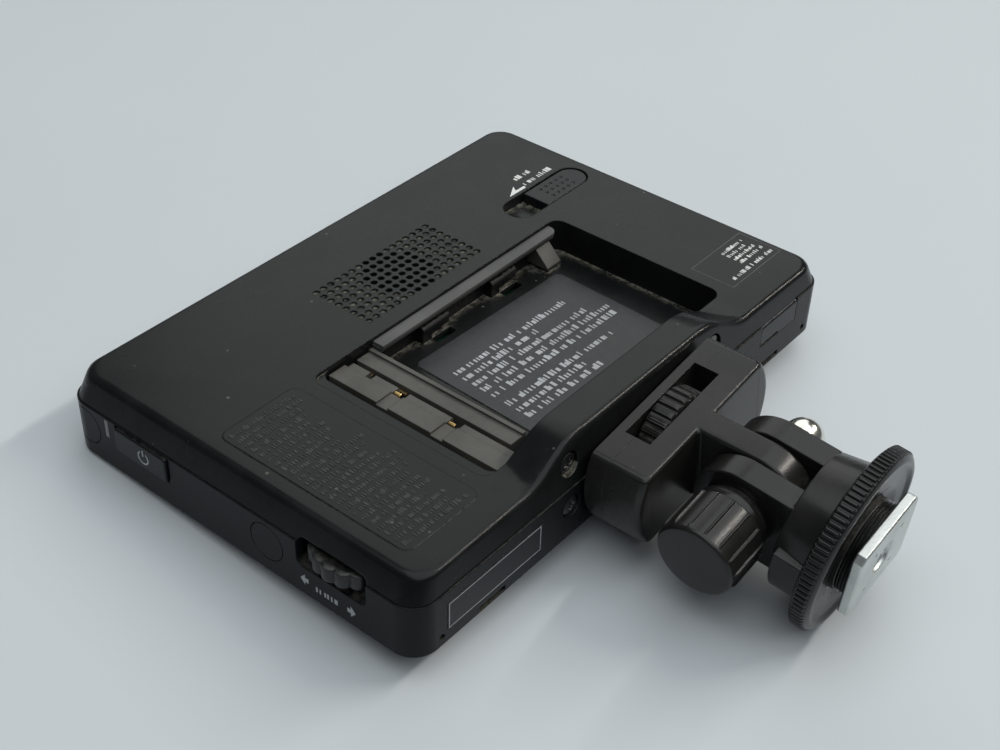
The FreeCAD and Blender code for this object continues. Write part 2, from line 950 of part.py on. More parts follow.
def make_screen_window():
    """Clear window let into the bezel."""
    return slab(window_length / 2, window_width / 2, window_corner, window_sink, window_sink + window_thickness)


def make_lcd_panel():
    """Liquid crystal panel with its backlight."""
    return brick(-lcd_length / 2, lcd_length / 2, -lcd_width / 2, lcd_width / 2, bezel_thickness, chassis_low)


def make_panel_chassis():
    """Pressed plate behind the panel with four studs for the main board."""
    half_x = lcd_length / 2 + chassis_rim / 2
    half_y = lcd_width / 2 + chassis_rim / 2
    plate = brick(-half_x, half_x, -half_y, half_y, chassis_low, chassis_high)
    half = board_standoff_half
    studs = []
    for x in (-1, 1):
        for y in (-1, 1):
            cx = board_x + x * (board_length / 2 - 2 * half)
            cy = board_y + y * (board_width / 2 - 2 * half)
            studs.append(brick(cx - half, cx + half, cy - half, cy + half, chassis_high, board_low))
    return plate.multiFuse(studs)


def make_main_board():
    """Main circuit board under the battery bay."""
    half_x = board_length / 2
    half_y = board_width / 2
    return brick(board_x - half_x, board_x + half_x, board_y - half_y, board_y + half_y, board_low, board_high)


def control_board_face():
    """Face of the control board that carries the switch."""
    return left_face + control_board_depth


def make_control_board():
    """Upright board behind the power button, standing on the chassis."""
    x0 = control_board_face()
    half = control_board_length / 2
    low = chassis_high
    x1 = x0 + control_board_thickness
    return brick(x0, x1, control_board_y - half, control_board_y + half, low, low + control_board_height)


def button_back():
    """Inner face of the power button's flange at rest."""
    return left_face + case_wall + running_gap + button_flange_thickness


def make_power_switch():
    """Push switch on the control board, its plunger just clear of the pressed button."""
    x1 = control_board_face()
    half = switch_size / 2
    body = brick(x1 - switch_body_depth, x1, button_y - half, button_y + half, button_z - half, button_z + half)
    tip = button_back() + button_travel + switch_stroke_gap
    plunger = facet_rod(pin_sides, switch_plunger_radius, V(tip, button_y, button_z), V(1, 0, 0), x1 - tip)
    return body.fuse(plunger).removeSplitter()


def make_power_button():
    """Power button: proud face with round edges and a flange behind the wall."""
    x0 = left_face - button_proud
    half_y = button_length / 2
    half_z = button_height / 2
    flange_x = left_face + case_wall + running_gap
    face = brick(x0, flange_x, button_y - half_y, button_y + half_y, button_z - half_z, button_z + half_z)
    face = fillet_where(face, button_edge_round, lambda edge: edge.BoundBox.XMax < x0 + running_gap)
    reach = button_flange
    top = split_plane - seat_gap
    flange = brick(flange_x, button_back(), button_y - half_y - reach, button_y + half_y + reach,
                   button_z - half_z - reach, top)
    return face.fuse(flange).removeSplitter()


def make_light_lens():
    """Light pipe of the power light, from the outer face to the control board."""
    half = light_length / 2
    low = light_z - light_height / 2
    return brick(left_face, control_board_face(), light_y - half, light_y + half, low, low + light_height)


def make_speaker():
    """Round speaker under the grille: basket and magnet."""
    top = back_plane - case_wall - seat_gap
    low = top - speaker_depth
    basket = facet_rod(disc_sides, speaker_radius, V(grille_x, grille_y, low), V(0, 0, 1), speaker_depth)
    start = V(grille_x, grille_y, low - magnet_depth)
    magnet = facet_rod(disc_sides, magnet_radius, start, V(0, 0, 1), magnet_depth)
    return basket.fuse(magnet)


def make_video_socket():
    """Video socket behind its cover: thin metal shell with a contact tongue."""
    y0 = front_face + case_wall + seat_gap
    low = board_high + seat_gap
    half = socket_length / 2
    y1 = y0 + socket_depth
    shell = brick(door_x - half, door_x + half, y0, y1, low, low + socket_height)
    room = half - socket_skin
    inside = brick(door_x - room, door_x + room, y0 - overrun, y1 - socket_skin,
                   low + socket_skin, low + socket_height - socket_skin)
    mid = low + socket_height / 2
    tongue = brick(door_x - half / 2, door_x + half / 2, y0 + socket_skin, y1 - socket_skin / 2,
                   mid - socket_tongue / 2, mid + socket_tongue / 2)
    return shell.cut(inside).fuse(tongue).removeSplitter()


# Battery bay pieces

def make_battery_rail():
    """Guide rail along the bay's upper wall with a rounded free end."""
    top = back_plane - rail_drop
    y1 = bay_high
    rail = brick(rail_x, rail_x + rail_length, y1 - rail_reach, y1, top - rail_thickness, top)
    return fillet_where(
        rail,
        rail_reach * rail_end_share,
        lambda edge: edge.BoundBox.XMin > rail_x + rail_reach and edge.BoundBox.YMax < y1 - running_gap
        and edge.BoundBox.ZLength > running_gap,
    )


def terminal_bounds():
    """Left edge of the outer bar and right edge of the guard bar."""
    outer = bay_left + outer_bar_gap
    return outer, outer + outer_bar_width + terminal_slot_width + guard_bar_width


def make_terminal_block():
    """Terminal block: base, notched outer bar, open slot and beaded guard bar."""
    left, right = terminal_bounds()
    low_y = bay_low + terminal_margin
    high_y = bay_high - terminal_margin
    floor = bay_floor
    base = brick(left, right, low_y, high_y, floor, floor + terminal_base)
    outer = brick(left, left + outer_bar_width, low_y, high_y, floor, floor + outer_bar_height)
    guard_x = right - guard_bar_width
    guard = brick(guard_x, right, low_y + guard_bar_short, high_y, floor, floor + guard_bar_height)
    bead_high = floor + guard_bar_height + guard_bead_height
    bead = brick(right - guard_bead_width, right, low_y + guard_bar_short, high_y, floor, bead_high)
    solid = base.multiFuse([outer, guard, bead])
    bar_top = floor + outer_bar_height
    cuts = []
    for share in bar_notch_shares:
        y = bay_y + share * bay_width
        half = bar_notch_length / 2
        cuts.append(brick(left - overrun, left + outer_bar_width + overrun / 2, y - half, y + half,
                          bar_top - bar_notch_depth, bar_top + overrun))
    return solid.cut(Part.Compound(cuts)).removeSplitter()


def make_battery_contacts():
    """Contact blades standing in the terminal block's slot."""
    left, right = terminal_bounds()
    x1 = right - guard_bar_width - seat_gap
    low = bay_floor + terminal_base
    blades = []
    for share in contact_shares:
        y = bay_y + share * bay_width
        half = contact_length / 2
        blades.append(brick(x1 - contact_thickness, x1, y - half, y + half, low, low + contact_height))
    return Part.Compound(blades)


def make_bay_label():
    """Thin label plate on the bay's floor, stuck on slightly askew."""
    top = bay_floor + label_thickness
    plate = slab(label_length / 2, label_width / 2, label_corner, bay_floor, top, label_x, label_y)
    plate.rotate(V(label_x, label_y, 0), V(0, 0, 1), label_turn)
    return plate


def pawl_arm_planes():
    """Lower and upper face of the pawl's arm."""
    low = pawl_low + pawl_arm_lift
    return low, low + pawl_arm_thickness


def make_latch_pawl():
    """Latch pawl: wedge through the bay's wall with an arm whose slanted slot follows the slider's pin."""
    tip = bay_high - pawl_reach
    back = bay_high + pawl_tail
    top = pawl_low + pawl_height
    slope = pawl_height - pawl_tip_height
    tail_top = pawl_low + pawl_tail_height
    points = [
        V(0, tip, pawl_low),
        V(0, back, pawl_low),
        V(0, back, tail_top),
        V(0, bay_high, tail_top),
        V(0, bay_high, top),
        V(0, tip + slope, top),
        V(0, tip, pawl_low + pawl_tip_height),
    ]
    wedge = flat(points).extrude(V(pawl_width, 0, 0))
    wedge.translate(V(pawl_x - pawl_width / 2, 0, 0))
    low, high = pawl_arm_planes()
    hole = slider_pin_radius + slide_gap
    reach = hole + pawl_arm_margin
    arm_left = pawl_x + pawl_width / 2 - running_gap
    arm = brick(arm_left, slider_pin_x + reach, slider_y - pawl_travel - reach, slider_y + reach, low, high)
    start = V(slider_pin_x, slider_y, low - overrun)
    shift = V(-slider_travel, -pawl_travel, 0)
    height = pawl_arm_thickness + 2 * overrun
    along = math.degrees(math.atan2(shift.y, shift.x))
    slot = brick(0.0, shift.Length, -hole, hole, 0.0, height)
    slot.rotate(V(0, 0, 0), V(0, 0, 1), along)
    slot.translate(start)
    ends = [rod(hole, start, V(0, 0, 1), height), rod(hole, start + shift, V(0, 0, 1), height)]
    return wedge.fuse(arm).cut(slot.multiFuse(ends)).removeSplitter()


def make_release_slider():
    """Release slider: flat thumb block with a round end, a field of dots and its pin."""
    low = slider_floor_plane + running_gap
    high = back_plane - slider_sink
    width = slider_recess_width - 2 * slide_gap
    right = slider_recess_x + slider_recess_length / 2 - slide_gap
    centre = right - slider_recess_length / 2
    body = stadium(slider_recess_length, width, low, high, centre, slider_y)
    left = right - slider_length
    spare = brick(left - slider_recess_length, left, -case_height, case_height, low - overrun, high + overrun)
    body = body.cut(spare)
    foot = V(slider_pin_x, slider_y, low - slider_pin_length)
    pin = rod(slider_pin_radius, foot, V(0, 0, 1), slider_pin_length)
    dots = []
    for column in range(slider_dot_columns):
        for row in range(slider_dot_rows):
            x = slider_dot_x + (column - (slider_dot_columns - 1) / 2) * slider_dot_pitch
            y = slider_y + (row - (slider_dot_rows - 1) / 2) * slider_dot_pitch
            start = V(x, y, high - slider_dot_depth)
            dots.append(facet_rod(hole_sides, slider_dot_radius, start, V(0, 0, 1), slider_dot_depth + overrun))
    return body.fuse(pin).cut(Part.Compound(dots)).removeSplitter()


def make_latch_spring():
    """Folded leaf spring between the pawl and the guide's end stop."""
    low = pawl_low + (pawl_tail_height - spring_height) / 2
    start = bay_high + pawl_tail + running_gap
    step = (spring_length - spring_leaf - running_gap) / spring_folds
    leaf = V(0, spring_leaf, 0)
    leaves = []
    for fold in range(spring_folds):
        side = spring_half if fold % 2 else -spring_half
        near = V(pawl_x + side, start + fold * step, low)
        far = V(pawl_x - side, start + (fold + 1) * step, low)
        outline = [near, far, far + leaf, near + leaf]
        leaves.append(flat(outline).extrude(V(0, 0, spring_height)))
    return leaves[0].multiFuse(leaves[1:]).removeSplitter()


# Control side pieces

def make_screw_caps():
    """Flush round caps over the case screws."""
    thickness = cap_thickness - running_gap
    return Part.Compound(
        [facet_rod(disc_sides, cap_radius, V(left_face, y, cap_z), V(1, 0, 0), thickness) for y in cap_places]
    )


def make_case_screws():
    """Case screws through the control side into the cover's posts."""
    screws = []
    for y in cap_places:
        length = case_screw_length
        screw = plain_screw(case_screw_radius, length, case_screw_head_radius, case_screw_head - running_gap)
        aim_left(screw)
        screw.translate(V(left_face + cap_thickness + case_screw_head, y, cap_z))
        screws.append(screw)
    return Part.Compound(screws)


def make_jog_wheel():
    """Jog wheel: toothed disc with a bore for its axle."""
    wheel = toothed_disc(jog_radius, jog_tooth_depth, jog_teeth, jog_thickness)
    length = jog_thickness + 2 * overrun
    wheel = wheel.cut(rod(jog_axle_radius + running_gap, V(0, 0, -overrun), V(0, 0, 1), length))
    wheel.translate(V(jog_x, jog_y, jog_low))
    return wheel


def jog_carrier_plane():
    """Lower face of the jog carrier."""
    return jog_low - seat_gap - jog_carrier_thickness


def make_jog_carrier():
    """Sliding plate under the jog wheel with the wheel's axle on it."""
    low = jog_carrier_plane()
    x0 = left_face + jog_carrier_start
    x1 = left_face + jog_carrier_end
    half = jog_carrier_length / 2
    plate = brick(x0, x1, jog_y - half, jog_y + half, low, low + jog_carrier_thickness)
    height = jog_carrier_thickness + seat_gap + jog_thickness + seat_gap
    return plate.fuse(rod(jog_axle_radius, V(jog_x, jog_y, low), V(0, 0, 1), height)).removeSplitter()


def make_jog_base():
    """Fixed base with the jog's switch, between the chassis and the carrier."""
    high = jog_carrier_plane() - running_gap
    x0 = left_face + jog_carrier_start
    x1 = left_face + jog_carrier_end
    half = jog_carrier_length / 2
    return brick(x0, x1, jog_y - half, jog_y + half, chassis_high, high)


# Lower face pieces

def make_side_screws():
    """Cross-recess screws on the lower face that hold the socket bracket."""
    screws = []
    for x in (-side_screw_x, side_screw_x):
        for z in (side_screw_low, side_screw_high):
            screw = cross_screw(side_screw_radius, side_screw_length, side_screw_head_radius, side_screw_head)
            aim_out(screw)
            screw.translate(V(x, screw_seat(z), z))
            screws.append(screw)
    return Part.Compound(screws)


def make_socket_bracket():
    """Steel bracket behind the lower face with the threaded tripod hub."""
    inner = bracket_face()
    half = bracket_length / 2
    plate = brick(-half, half, inner, inner + bracket_thickness, bracket_low, bracket_high)
    hub = facet_rod(hex_sides, hub_radius, V(0, inner, mount_z), V(0, 1, 0), hub_length)
    start = V(0, inner - overrun, mount_z)
    cuts = [facet_rod(head_sides, screw_radius + seat_gap, start, V(0, 1, 0), hub_length + 2 * overrun)]
    for x in (-side_screw_x, side_screw_x):
        for z in (side_screw_low, side_screw_high):
            length = bracket_thickness + 2 * overrun
            cuts.append(facet_rod(pin_sides, side_screw_radius, V(x, inner - overrun, z), V(0, 1, 0), length))
    return plate.fuse(hub).cut(Part.Compound(cuts)).removeSplitter()


def door_axis():
    """Y and Z of the socket cover's hinge axis."""
    return front_face + door_thickness / 2, door_top - door_thickness / 2


def make_socket_cover():
    """Hinged cover of the video socket with a round hinge edge and a nail slot along its lower edge."""
    half = door_length / 2
    low = door_top - door_height
    axis_y, axis_z = door_axis()
    door = brick(door_x - half, door_x + half, front_face, front_face + door_thickness, low, axis_z)
    door = door.fuse(rod(door_thickness / 2, V(door_x - half, axis_y, axis_z), V(1, 0, 0), door_length))
    nail = brick(door_x - half + slide_gap, door_x - half + slide_gap + door_nail_length, front_face - overrun,
                 front_face + door_nail_depth, low - overrun, low + door_nail_height)
    return door.cut(nail)


# Mount, built in mount axes

def block_outline(end_inset, inset, y):
    """Barrel outline of the mount block across Y, drawn in at its ends and all round."""
    flat = block_flat_length / 2 - end_inset - inset
    half = block_height / 2 - inset
    wide = flat + block_bulge
    return Part.Wire([
        Part.makeLine(V(-flat, y, half), V(flat, y, half)),
        Part.Arc(V(flat, y, half), V(wide, y, 0), V(flat, y, -half)).toShape(),
        Part.makeLine(V(flat, y, -half), V(-flat, y, -half)),
        Part.Arc(V(-flat, y, -half), V(-wide, y, 0), V(-flat, y, half)).toShape(),
    ])


def wheel_slot():
    """Slot through the block for the thumb wheel, open above and below."""
    half = wheel_slot_length / 2
    high = block_height / 2 + overrun
    return brick(-half, half, -wheel_slot_near - wheel_slot_width, -wheel_slot_near, -high, high)


def block_screw_cuts(gap):
    """Holes of the two screws that join the halves of the block, with a gap round their shanks."""
    solids = []
    for x in (-block_screw_x, block_screw_x):
        start = V(x, overrun, 0)
        sink = overrun + block_screw_head
        solids.append(facet_rod(head_sides, block_screw_head_radius + seat_gap, start, V(0, -1, 0), sink))
        length = sink + block_screw_length
        solids.append(facet_rod(pin_sides, block_screw_radius + gap, start, V(0, -1, 0), length))
    return solids


def make_block_rear():
    """Rear half of the mount block, against the monitor."""
    half = Part.Face(block_outline(0.0, 0.0, 0.0)).extrude(V(0, -block_split, 0))
    mouth = facet_rod(head_sides, screw_radius + slide_gap, V(0, overrun, 0), V(0, -1, 0), block_depth)
    cuts = [wheel_slot(), mouth] + block_screw_cuts(seat_gap)
    return half.cut(Part.Compound(cuts)).removeSplitter()


def tongue():
    """Tongue of the front half: flat sides, round end about the tilt axis."""
    root = -block_depth + overrun
    centre_y = -tilt_reach
    centre_z = -tilt_drop
    top = centre_z + tilt_radius
    low = centre_z - tilt_radius
    edges = [
        Part.makeLine(V(0, root, -block_height / 2), V(0, root, top)),
        Part.makeLine(V(0, root, top), V(0, centre_y, top)),
        Part.Arc(V(0, centre_y, top), V(0, centre_y - tilt_radius, centre_z), V(0, centre_y, low)).toShape(),
        Part.makeLine(V(0, centre_y, low), V(0, root, -block_height / 2)),
    ]
    solid = Part.Face(Part.Wire(edges)).extrude(V(tongue_width, 0, 0))
    solid.translate(V(-tongue_width / 2, 0, 0))
    return solid


def make_block_front():
    """Front half of the mount block with the tilt tongue."""
    outlines = [block_outline(0.0, 0.0, -block_split)]
    for inset, drop in round_bands(block_end_round):
        outlines.append(block_outline(inset, 0.0, drop - block_depth))
    half = Part.makeLoft(outlines, True, True)
    solid = half.fuse(tongue())
    reach = wheel_slot_near + wheel_slot_width + screw_tail + seat_gap
    tail = rod(screw_tail_radius + running_gap, V(0, 0, 0), V(0, -1, 0), reach)
    start = V(-tongue_width, -tilt_reach, -tilt_drop)
    pivot = rod(bolt_radius + running_gap, start, V(1, 0, 0), 2 * tongue_width)
    cuts = [wheel_slot(), tail, pivot] + block_screw_cuts(0.0)
    return solid.cut(Part.Compound(cuts)).removeSplitter()


def make_mount_pad():
    """Rubber pad between the block and the monitor."""
    pad = Part.Face(block_outline(0.0, pad_inset, 0.0)).extrude(V(0, pad_thickness, 0))
    length = pad_thickness + 2 * overrun
    return pad.cut(facet_rod(head_sides, screw_radius + slide_gap, V(0, -overrun, 0), V(0, 1, 0), length))


def make_block_screws():
    """Two screws that join the halves of the mount block."""
    screws = []
    for x in (-block_screw_x, block_screw_x):
        length = block_screw_length - overrun / 2
        screw = plain_screw(block_screw_radius, length, block_screw_head_radius, block_screw_head - seat_gap)
        screw.rotate(V(0, 0, 0), V(1, 0, 0), -90)
        screw.translate(V(x, -block_screw_head, 0))
        screws.append(screw)
    return Part.Compound(screws)


def make_thumb_wheel():
    """Ribbed thumb wheel in the block's slot."""
    wheel = toothed_disc(wheel_radius, wheel_tooth_depth, wheel_teeth, wheel_thickness)
    length = wheel_thickness + 2 * overrun
    wheel = wheel.cut(facet_rod(head_sides, screw_radius + seat_gap, V(0, 0, -overrun), V(0, 0, 1), length))
    aim_out(wheel)
    wheel.translate(V(0, -wheel_slot_near - (wheel_slot_width - wheel_thickness) / 2, 0))
    return wheel


def make_thumb_screw():
    """Quarter-inch screw turned by the thumb wheel, with a plain tail in the front half."""
    wheel_end = wheel_slot_near + (wheel_slot_width + wheel_thickness) / 2
    shank = rod(screw_radius, V(0, screw_reach, 0), V(0, -1, 0), screw_reach + wheel_end)
    tail_end = wheel_slot_near + wheel_slot_width + screw_tail
    return shank.fuse(rod(screw_tail_radius, V(0, 0, 0), V(0, -1, 0), tail_end)).removeSplitter()


# Fork and foot, built in fork axes

def prong(side):
    """One prong of the fork with a round end about the tilt axis."""
    edges = [
        Part.makeLine(V(0, -base_start, -tilt_radius), V(0, -base_start, tilt_radius)),
        Part.makeLine(V(0, -base_start, tilt_radius), V(0, 0, tilt_radius)),
        Part.Arc(V(0, 0, tilt_radius), V(0, tilt_radius, 0), V(0, 0, -tilt_radius)).toShape(),
        Part.makeLine(V(0, 0, -tilt_radius), V(0, -base_start, -tilt_radius)),
    ]
    solid = Part.Face(Part.Wire(edges)).extrude(V(prong_width, 0, 0))
    solid.translate(V(prong_inner if side > 0 else -prong_outer, 0, 0))
    return solid


def threaded_boss():
    """Boss of the fork base that carries the lock ring, with a narrower neck before the foot."""
    boss = rod(boss_radius, V(0, boss_root - base_end, 0), V(0, -1, 0), boss_root + ring_end - base_end)
    return boss.fuse(facet_rod(disc_sides, boss_radius - boss_neck, V(0, -ring_end, 0), V(0, -1, 0), foot_gap))


def make_fork():
    """Fork: two prongs, conical base with an index pad, and the threaded boss."""
    cone = aim_out(facet_turned(disc_sides, [(base_radius, 0), (base_rear_radius, base_length)]))
    cone.translate(V(0, -base_start, 0))
    outer = base_rear_radius + base_pad_rise
    band = rod(outer, V(0, -base_start - base_pad_start, 0), V(0, -1, 0), base_length - base_pad_start)
    high = base_pad_width / 2 - base_pad_drop
    pad = band.common(brick(-outer - overrun, -base_radius / 2, -foot_end, 0.0, high - base_pad_width, high))
    solid = cone.multiFuse([pad, prong(-1), prong(1), threaded_boss()])
    reach = prong_outer + overrun
    pivot = facet_rod(head_sides, bolt_radius + seat_gap, V(-reach, 0, 0), V(1, 0, 0), 2 * reach)
    core = facet_rod(head_sides, rivet_radius, V(0, -foot_end, 0), V(0, 1, 0), foot_thickness + rivet_hold)
    return solid.cut(Part.Compound([pivot, core])).removeSplitter()


def make_friction_washers():
    """Thin washers between the tongue and the prongs."""
    washers = []
    for side in (-1, 1):
        near = tongue_width / 2 + running_gap
        x0 = near if side > 0 else -near - washer_thickness
        disc = facet_rod(disc_sides, washer_radius, V(x0, 0, 0), V(1, 0, 0), washer_thickness)
        length = washer_thickness + 2 * overrun
        start = V(x0 - overrun, 0, 0)
        washers.append(disc.cut(facet_rod(head_sides, bolt_radius + seat_gap, start, V(1, 0, 0), length)))
    return Part.Compound(washers)


def knob_start():
    """Distance of the knob's collar from the middle of the tongue."""
    return prong_outer + running_gap + knob_washer


def make_hinge_bolt():
    """Bolt of the tilt joint, from the knob to the cap nut."""
    left = knob_start() + knob_collar + knob_length / 2
    right = prong_outer + nut_collar + nut_barrel
    return rod(bolt_radius, V(-left, 0, 0), V(1, 0, 0), left + right)


def make_tilt_knob():
    """Ribbed tilt knob with a round-edged, slightly domed cap and a collar."""
    top = knob_collar + knob_length
    edge = knob_edge_round
    collar = facet_turned(disc_sides, [
        (knob_collar_radius - edge, 0),
        (knob_collar_radius, edge),
        (knob_collar_radius, knob_collar + edge),
    ])
    barrel = [(knob_radius, knob_collar)]
    barrel += [(knob_radius - inset, top - drop) for inset, drop in round_bands(edge)]
    barrel.append((knob_radius / 2, top + knob_cap_crown))
    body = collar.fuse(facet_turned(disc_sides, barrel))
    ribs = []
    for number in range(knob_ribs):
        half = knob_rib_width / 2
        inner = knob_radius - knob_rib_width
        end = knob_collar + knob_rib_length
        rib = brick(inner, knob_radius + knob_rib_rise, -half, half, knob_collar, end)
        rib.rotate(V(0, 0, 0), V(0, 0, 1), 360.0 * number / knob_ribs)
        ribs.append(rib)
    body = body.multiFuse(ribs)
    body = body.cut(rod(bolt_radius, V(0, 0, -overrun), V(0, 0, 1), overrun + knob_collar + knob_length / 2))
    aim_left(body)
    body.translate(V(-knob_start(), 0, 0))
    return body.removeSplitter()


def make_knob_washer():
    """Plain washer between the knob and the fork."""
    x1 = -prong_outer - running_gap
    disc = facet_rod(disc_sides, knob_washer_radius, V(x1, 0, 0), V(-1, 0, 0), knob_washer)
    length = knob_washer + 2 * overrun
    return disc.cut(facet_rod(head_sides, bolt_radius + seat_gap, V(x1 + overrun, 0, 0), V(-1, 0, 0), length))


def make_cap_nut():
    """Bright cap nut with a collar, a barrel and a half-round dome."""
    low = nut_collar + nut_barrel
    barrel = [(nut_radius, 0)]
    for band in range(dome_bands + 1):
        turn = math.radians(dome_turn) * band / dome_bands
        barrel.append((nut_radius * math.cos(turn), low + nut_radius * math.sin(turn)))
    nut = facet_turned(disc_sides, [(nut_collar_radius, 0), (nut_collar_radius, nut_collar)])
    nut = nut.fuse(facet_turned(disc_sides, barrel))
    depth = overrun + low + seat_gap
    nut = nut.cut(facet_rod(head_sides, bolt_radius + seat_gap, V(0, 0, -overrun), V(0, 0, 1), depth))
    aim_right(nut)
    nut.translate(V(prong_outer, 0, 0))
    return nut


def make_lock_ring():
    """Knurled lock ring with a dished face, running on the fork's thread."""
    bore = boss_radius + running_gap
    dish_floor = ring_thickness - ring_dish_depth
    dish = ring_radius - ring_tooth_depth - ring_rim
    ring = toothed_disc(ring_radius, ring_tooth_depth, ring_teeth, ring_thickness)
    hollow = rod(bore, V(0, 0, -overrun), V(0, 0, 1), ring_thickness + overrun)
    rise = overrun + ring_dish_depth
    mouth = [(bore, dish_floor - ring_mouth_depth), (bore + ring_mouth, dish_floor)]
    flare = [(dish - ring_dish_depth, dish_floor), (dish + overrun, dish_floor + rise)]
    for points in (mouth, flare):
        hollow = hollow.fuse(facet_turned(disc_sides, points))
    ring = ring.cut(hollow)
    aim_out(ring)
    ring.translate(V(0, -ring_start, 0))
    return ring


def make_shoe_foot():
    """Steel shoe foot with clipped corners and broken edges."""
    half_x = foot_width / 2
    half_z = foot_length / 2
    clip = foot_corner
    outline = []
    for x, z in ((1, -1), (1, 1), (-1, 1), (-1, -1)):
        across = V(x * (half_x - clip), 0, z * half_z)
        beside = V(x * half_x, 0, z * (half_z - clip))
        outline += [across, beside] if x * z < 0 else [beside, across]
    plate = flat(outline).extrude(V(0, -foot_thickness, 0))
    plate = plate.makeChamfer(foot_edge, [edge for edge in plate.Edges if edge.BoundBox.YLength < running_gap])
    plate.translate(V(0, -foot_start, 0))
    length = foot_thickness + 2 * overrun
    return plate.cut(facet_rod(head_sides, rivet_radius, V(0, -foot_start + overrun, 0), V(0, -1, 0), length))


def make_foot_rivet():
    """Rivet that stakes the foot to the boss."""
    start = foot_start - rivet_hold
    return facet_rod(head_sides, rivet_radius, V(0, -start, 0), V(0, -1, 0), foot_end - rivet_sink - start)


# Placing

def in_mount(shape):
    """Carries a shape from mount axes to monitor axes."""
    shape.rotate(V(0, 0, 0), V(0, 1, 0), -mount_roll)
    shape.translate(V(0, mount_face, mount_z))
    return shape


def in_fork(shape):
    """Carries a shape from fork axes to monitor axes."""
    shape.rotate(V(0, 0, 0), V(1, 0, 0), tilt_angle)
    shape.translate(V(0, -tilt_reach, -tilt_drop))
    return in_mount(shape)


def rest_lean():
    """Angle at which the case leans when its far edge and the lock ring both touch the table."""
    roll = math.radians(mount_roll)
    tilt = math.radians(tilt_angle)
    rim_y = mount_face - tilt_reach - ring_end * math.cos(tilt)
    rim_z = mount_z + (-tilt_drop - ring_end * math.sin(tilt)) * math.cos(roll)
    edge_y = case_height / 2 - frame_edge_bevel
    span = math.hypot(edge_y - rim_y, rim_z)
    return math.degrees(math.asin(ring_radius / span) - math.atan2(rim_z, edge_y - rim_y))


MONITOR_PIECES = {
    "back_cover": make_back_cover,
    "front_frame": make_front_frame,
    "screen_window": make_screen_window,
    "lcd_panel": make_lcd_panel,
    "panel_chassis": make_panel_chassis,
    "main_board": make_main_board,
    "control_board": make_control_board,
    "power_switch": make_power_switch,
    "power_button": make_power_button,
    "light_lens": make_light_lens,
    "speaker": make_speaker,
    "video_socket": make_video_socket,
    "socket_cover": make_socket_cover,
    "battery_rail": make_battery_rail,
    "terminal_block": make_terminal_block,
    "battery_contacts": make_battery_contacts,
    "bay_label": make_bay_label,
    "latch_pawl": make_latch_pawl,
    "latch_spring": make_latch_spring,
    "release_slider": make_release_slider,
    "screw_caps": make_screw_caps,
    "case_screws": make_case_screws,
    "jog_wheel": make_jog_wheel,
    "jog_carrier": make_jog_carrier,
    "jog_base": make_jog_base,
    "side_screws": make_side_screws,
    "socket_bracket": make_socket_bracket,
}
MOUNT_PIECES = {
    "mount_pad": make_mount_pad,
    "block_rear": make_block_rear,
    "block_front": make_block_front,
    "block_screws": make_block_screws,
    "thumb_wheel": make_thumb_wheel,
    "thumb_screw": make_thumb_screw,
}
FORK_PIECES = {
    "fork": make_fork,
    "friction_washers": make_friction_washers,
    "hinge_bolt": make_hinge_bolt,
    "tilt_knob": make_tilt_knob,
    "knob_washer": make_knob_washer,
    "cap_nut": make_cap_nut,
    "lock_ring": make_lock_ring,
    "shoe_foot": make_shoe_foot,
    "foot_rivet": make_foot_rivet,
}


def build():
    """All pieces by name, laid on the table with the origin under the middle of the whole."""
    pieces = {name: make() for name, make in MONITOR_PIECES.items()}
    pieces.update({name: in_mount(make()) for name, make in MOUNT_PIECES.items()})
    pieces.update({name: in_fork(make()) for name, make in FORK_PIECES.items()})
    lean = rest_lean()
    for shape in pieces.values():
        shape.rotate(V(0, 0, 0), V(1, 0, 0), -lean)
    box = Part.Compound(list(pieces.values())).optimalBoundingBox()
    shift = V(-box.Center.x, -box.Center.y, -box.ZMin)
    for shape in pieces.values():
        shape.translate(shift)
    print("lean", round(lean, 5), "shift", [round(value, 5) for value in shift])
    return pieces


def main():
    """Writes every piece to its own file."""
    os.makedirs("parts", exist_ok=True)
    for name, shape in build().items():
        shape.exportStep(f"parts/{name}.step")


main()
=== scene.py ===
"""Camera field monitor lying face down on a pale table.

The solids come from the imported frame. This script gives them their finishes, replaces the knurled and
turned pieces by finer surfaces, adds the printed and moulded marks, and sets up the studio.
Shapes are worked out in millimetres in one of three sets of axes and placed in the row frame in metres.
"""
import json
import logging
import math
from dataclasses import dataclass, field
from enum import Enum
from typing import Callable, Sequence

import bmesh
import bpy
import numpy as np
from bpy.types import Material, Mesh, Node, NodeTree, Object
from mathutils import Matrix, Vector


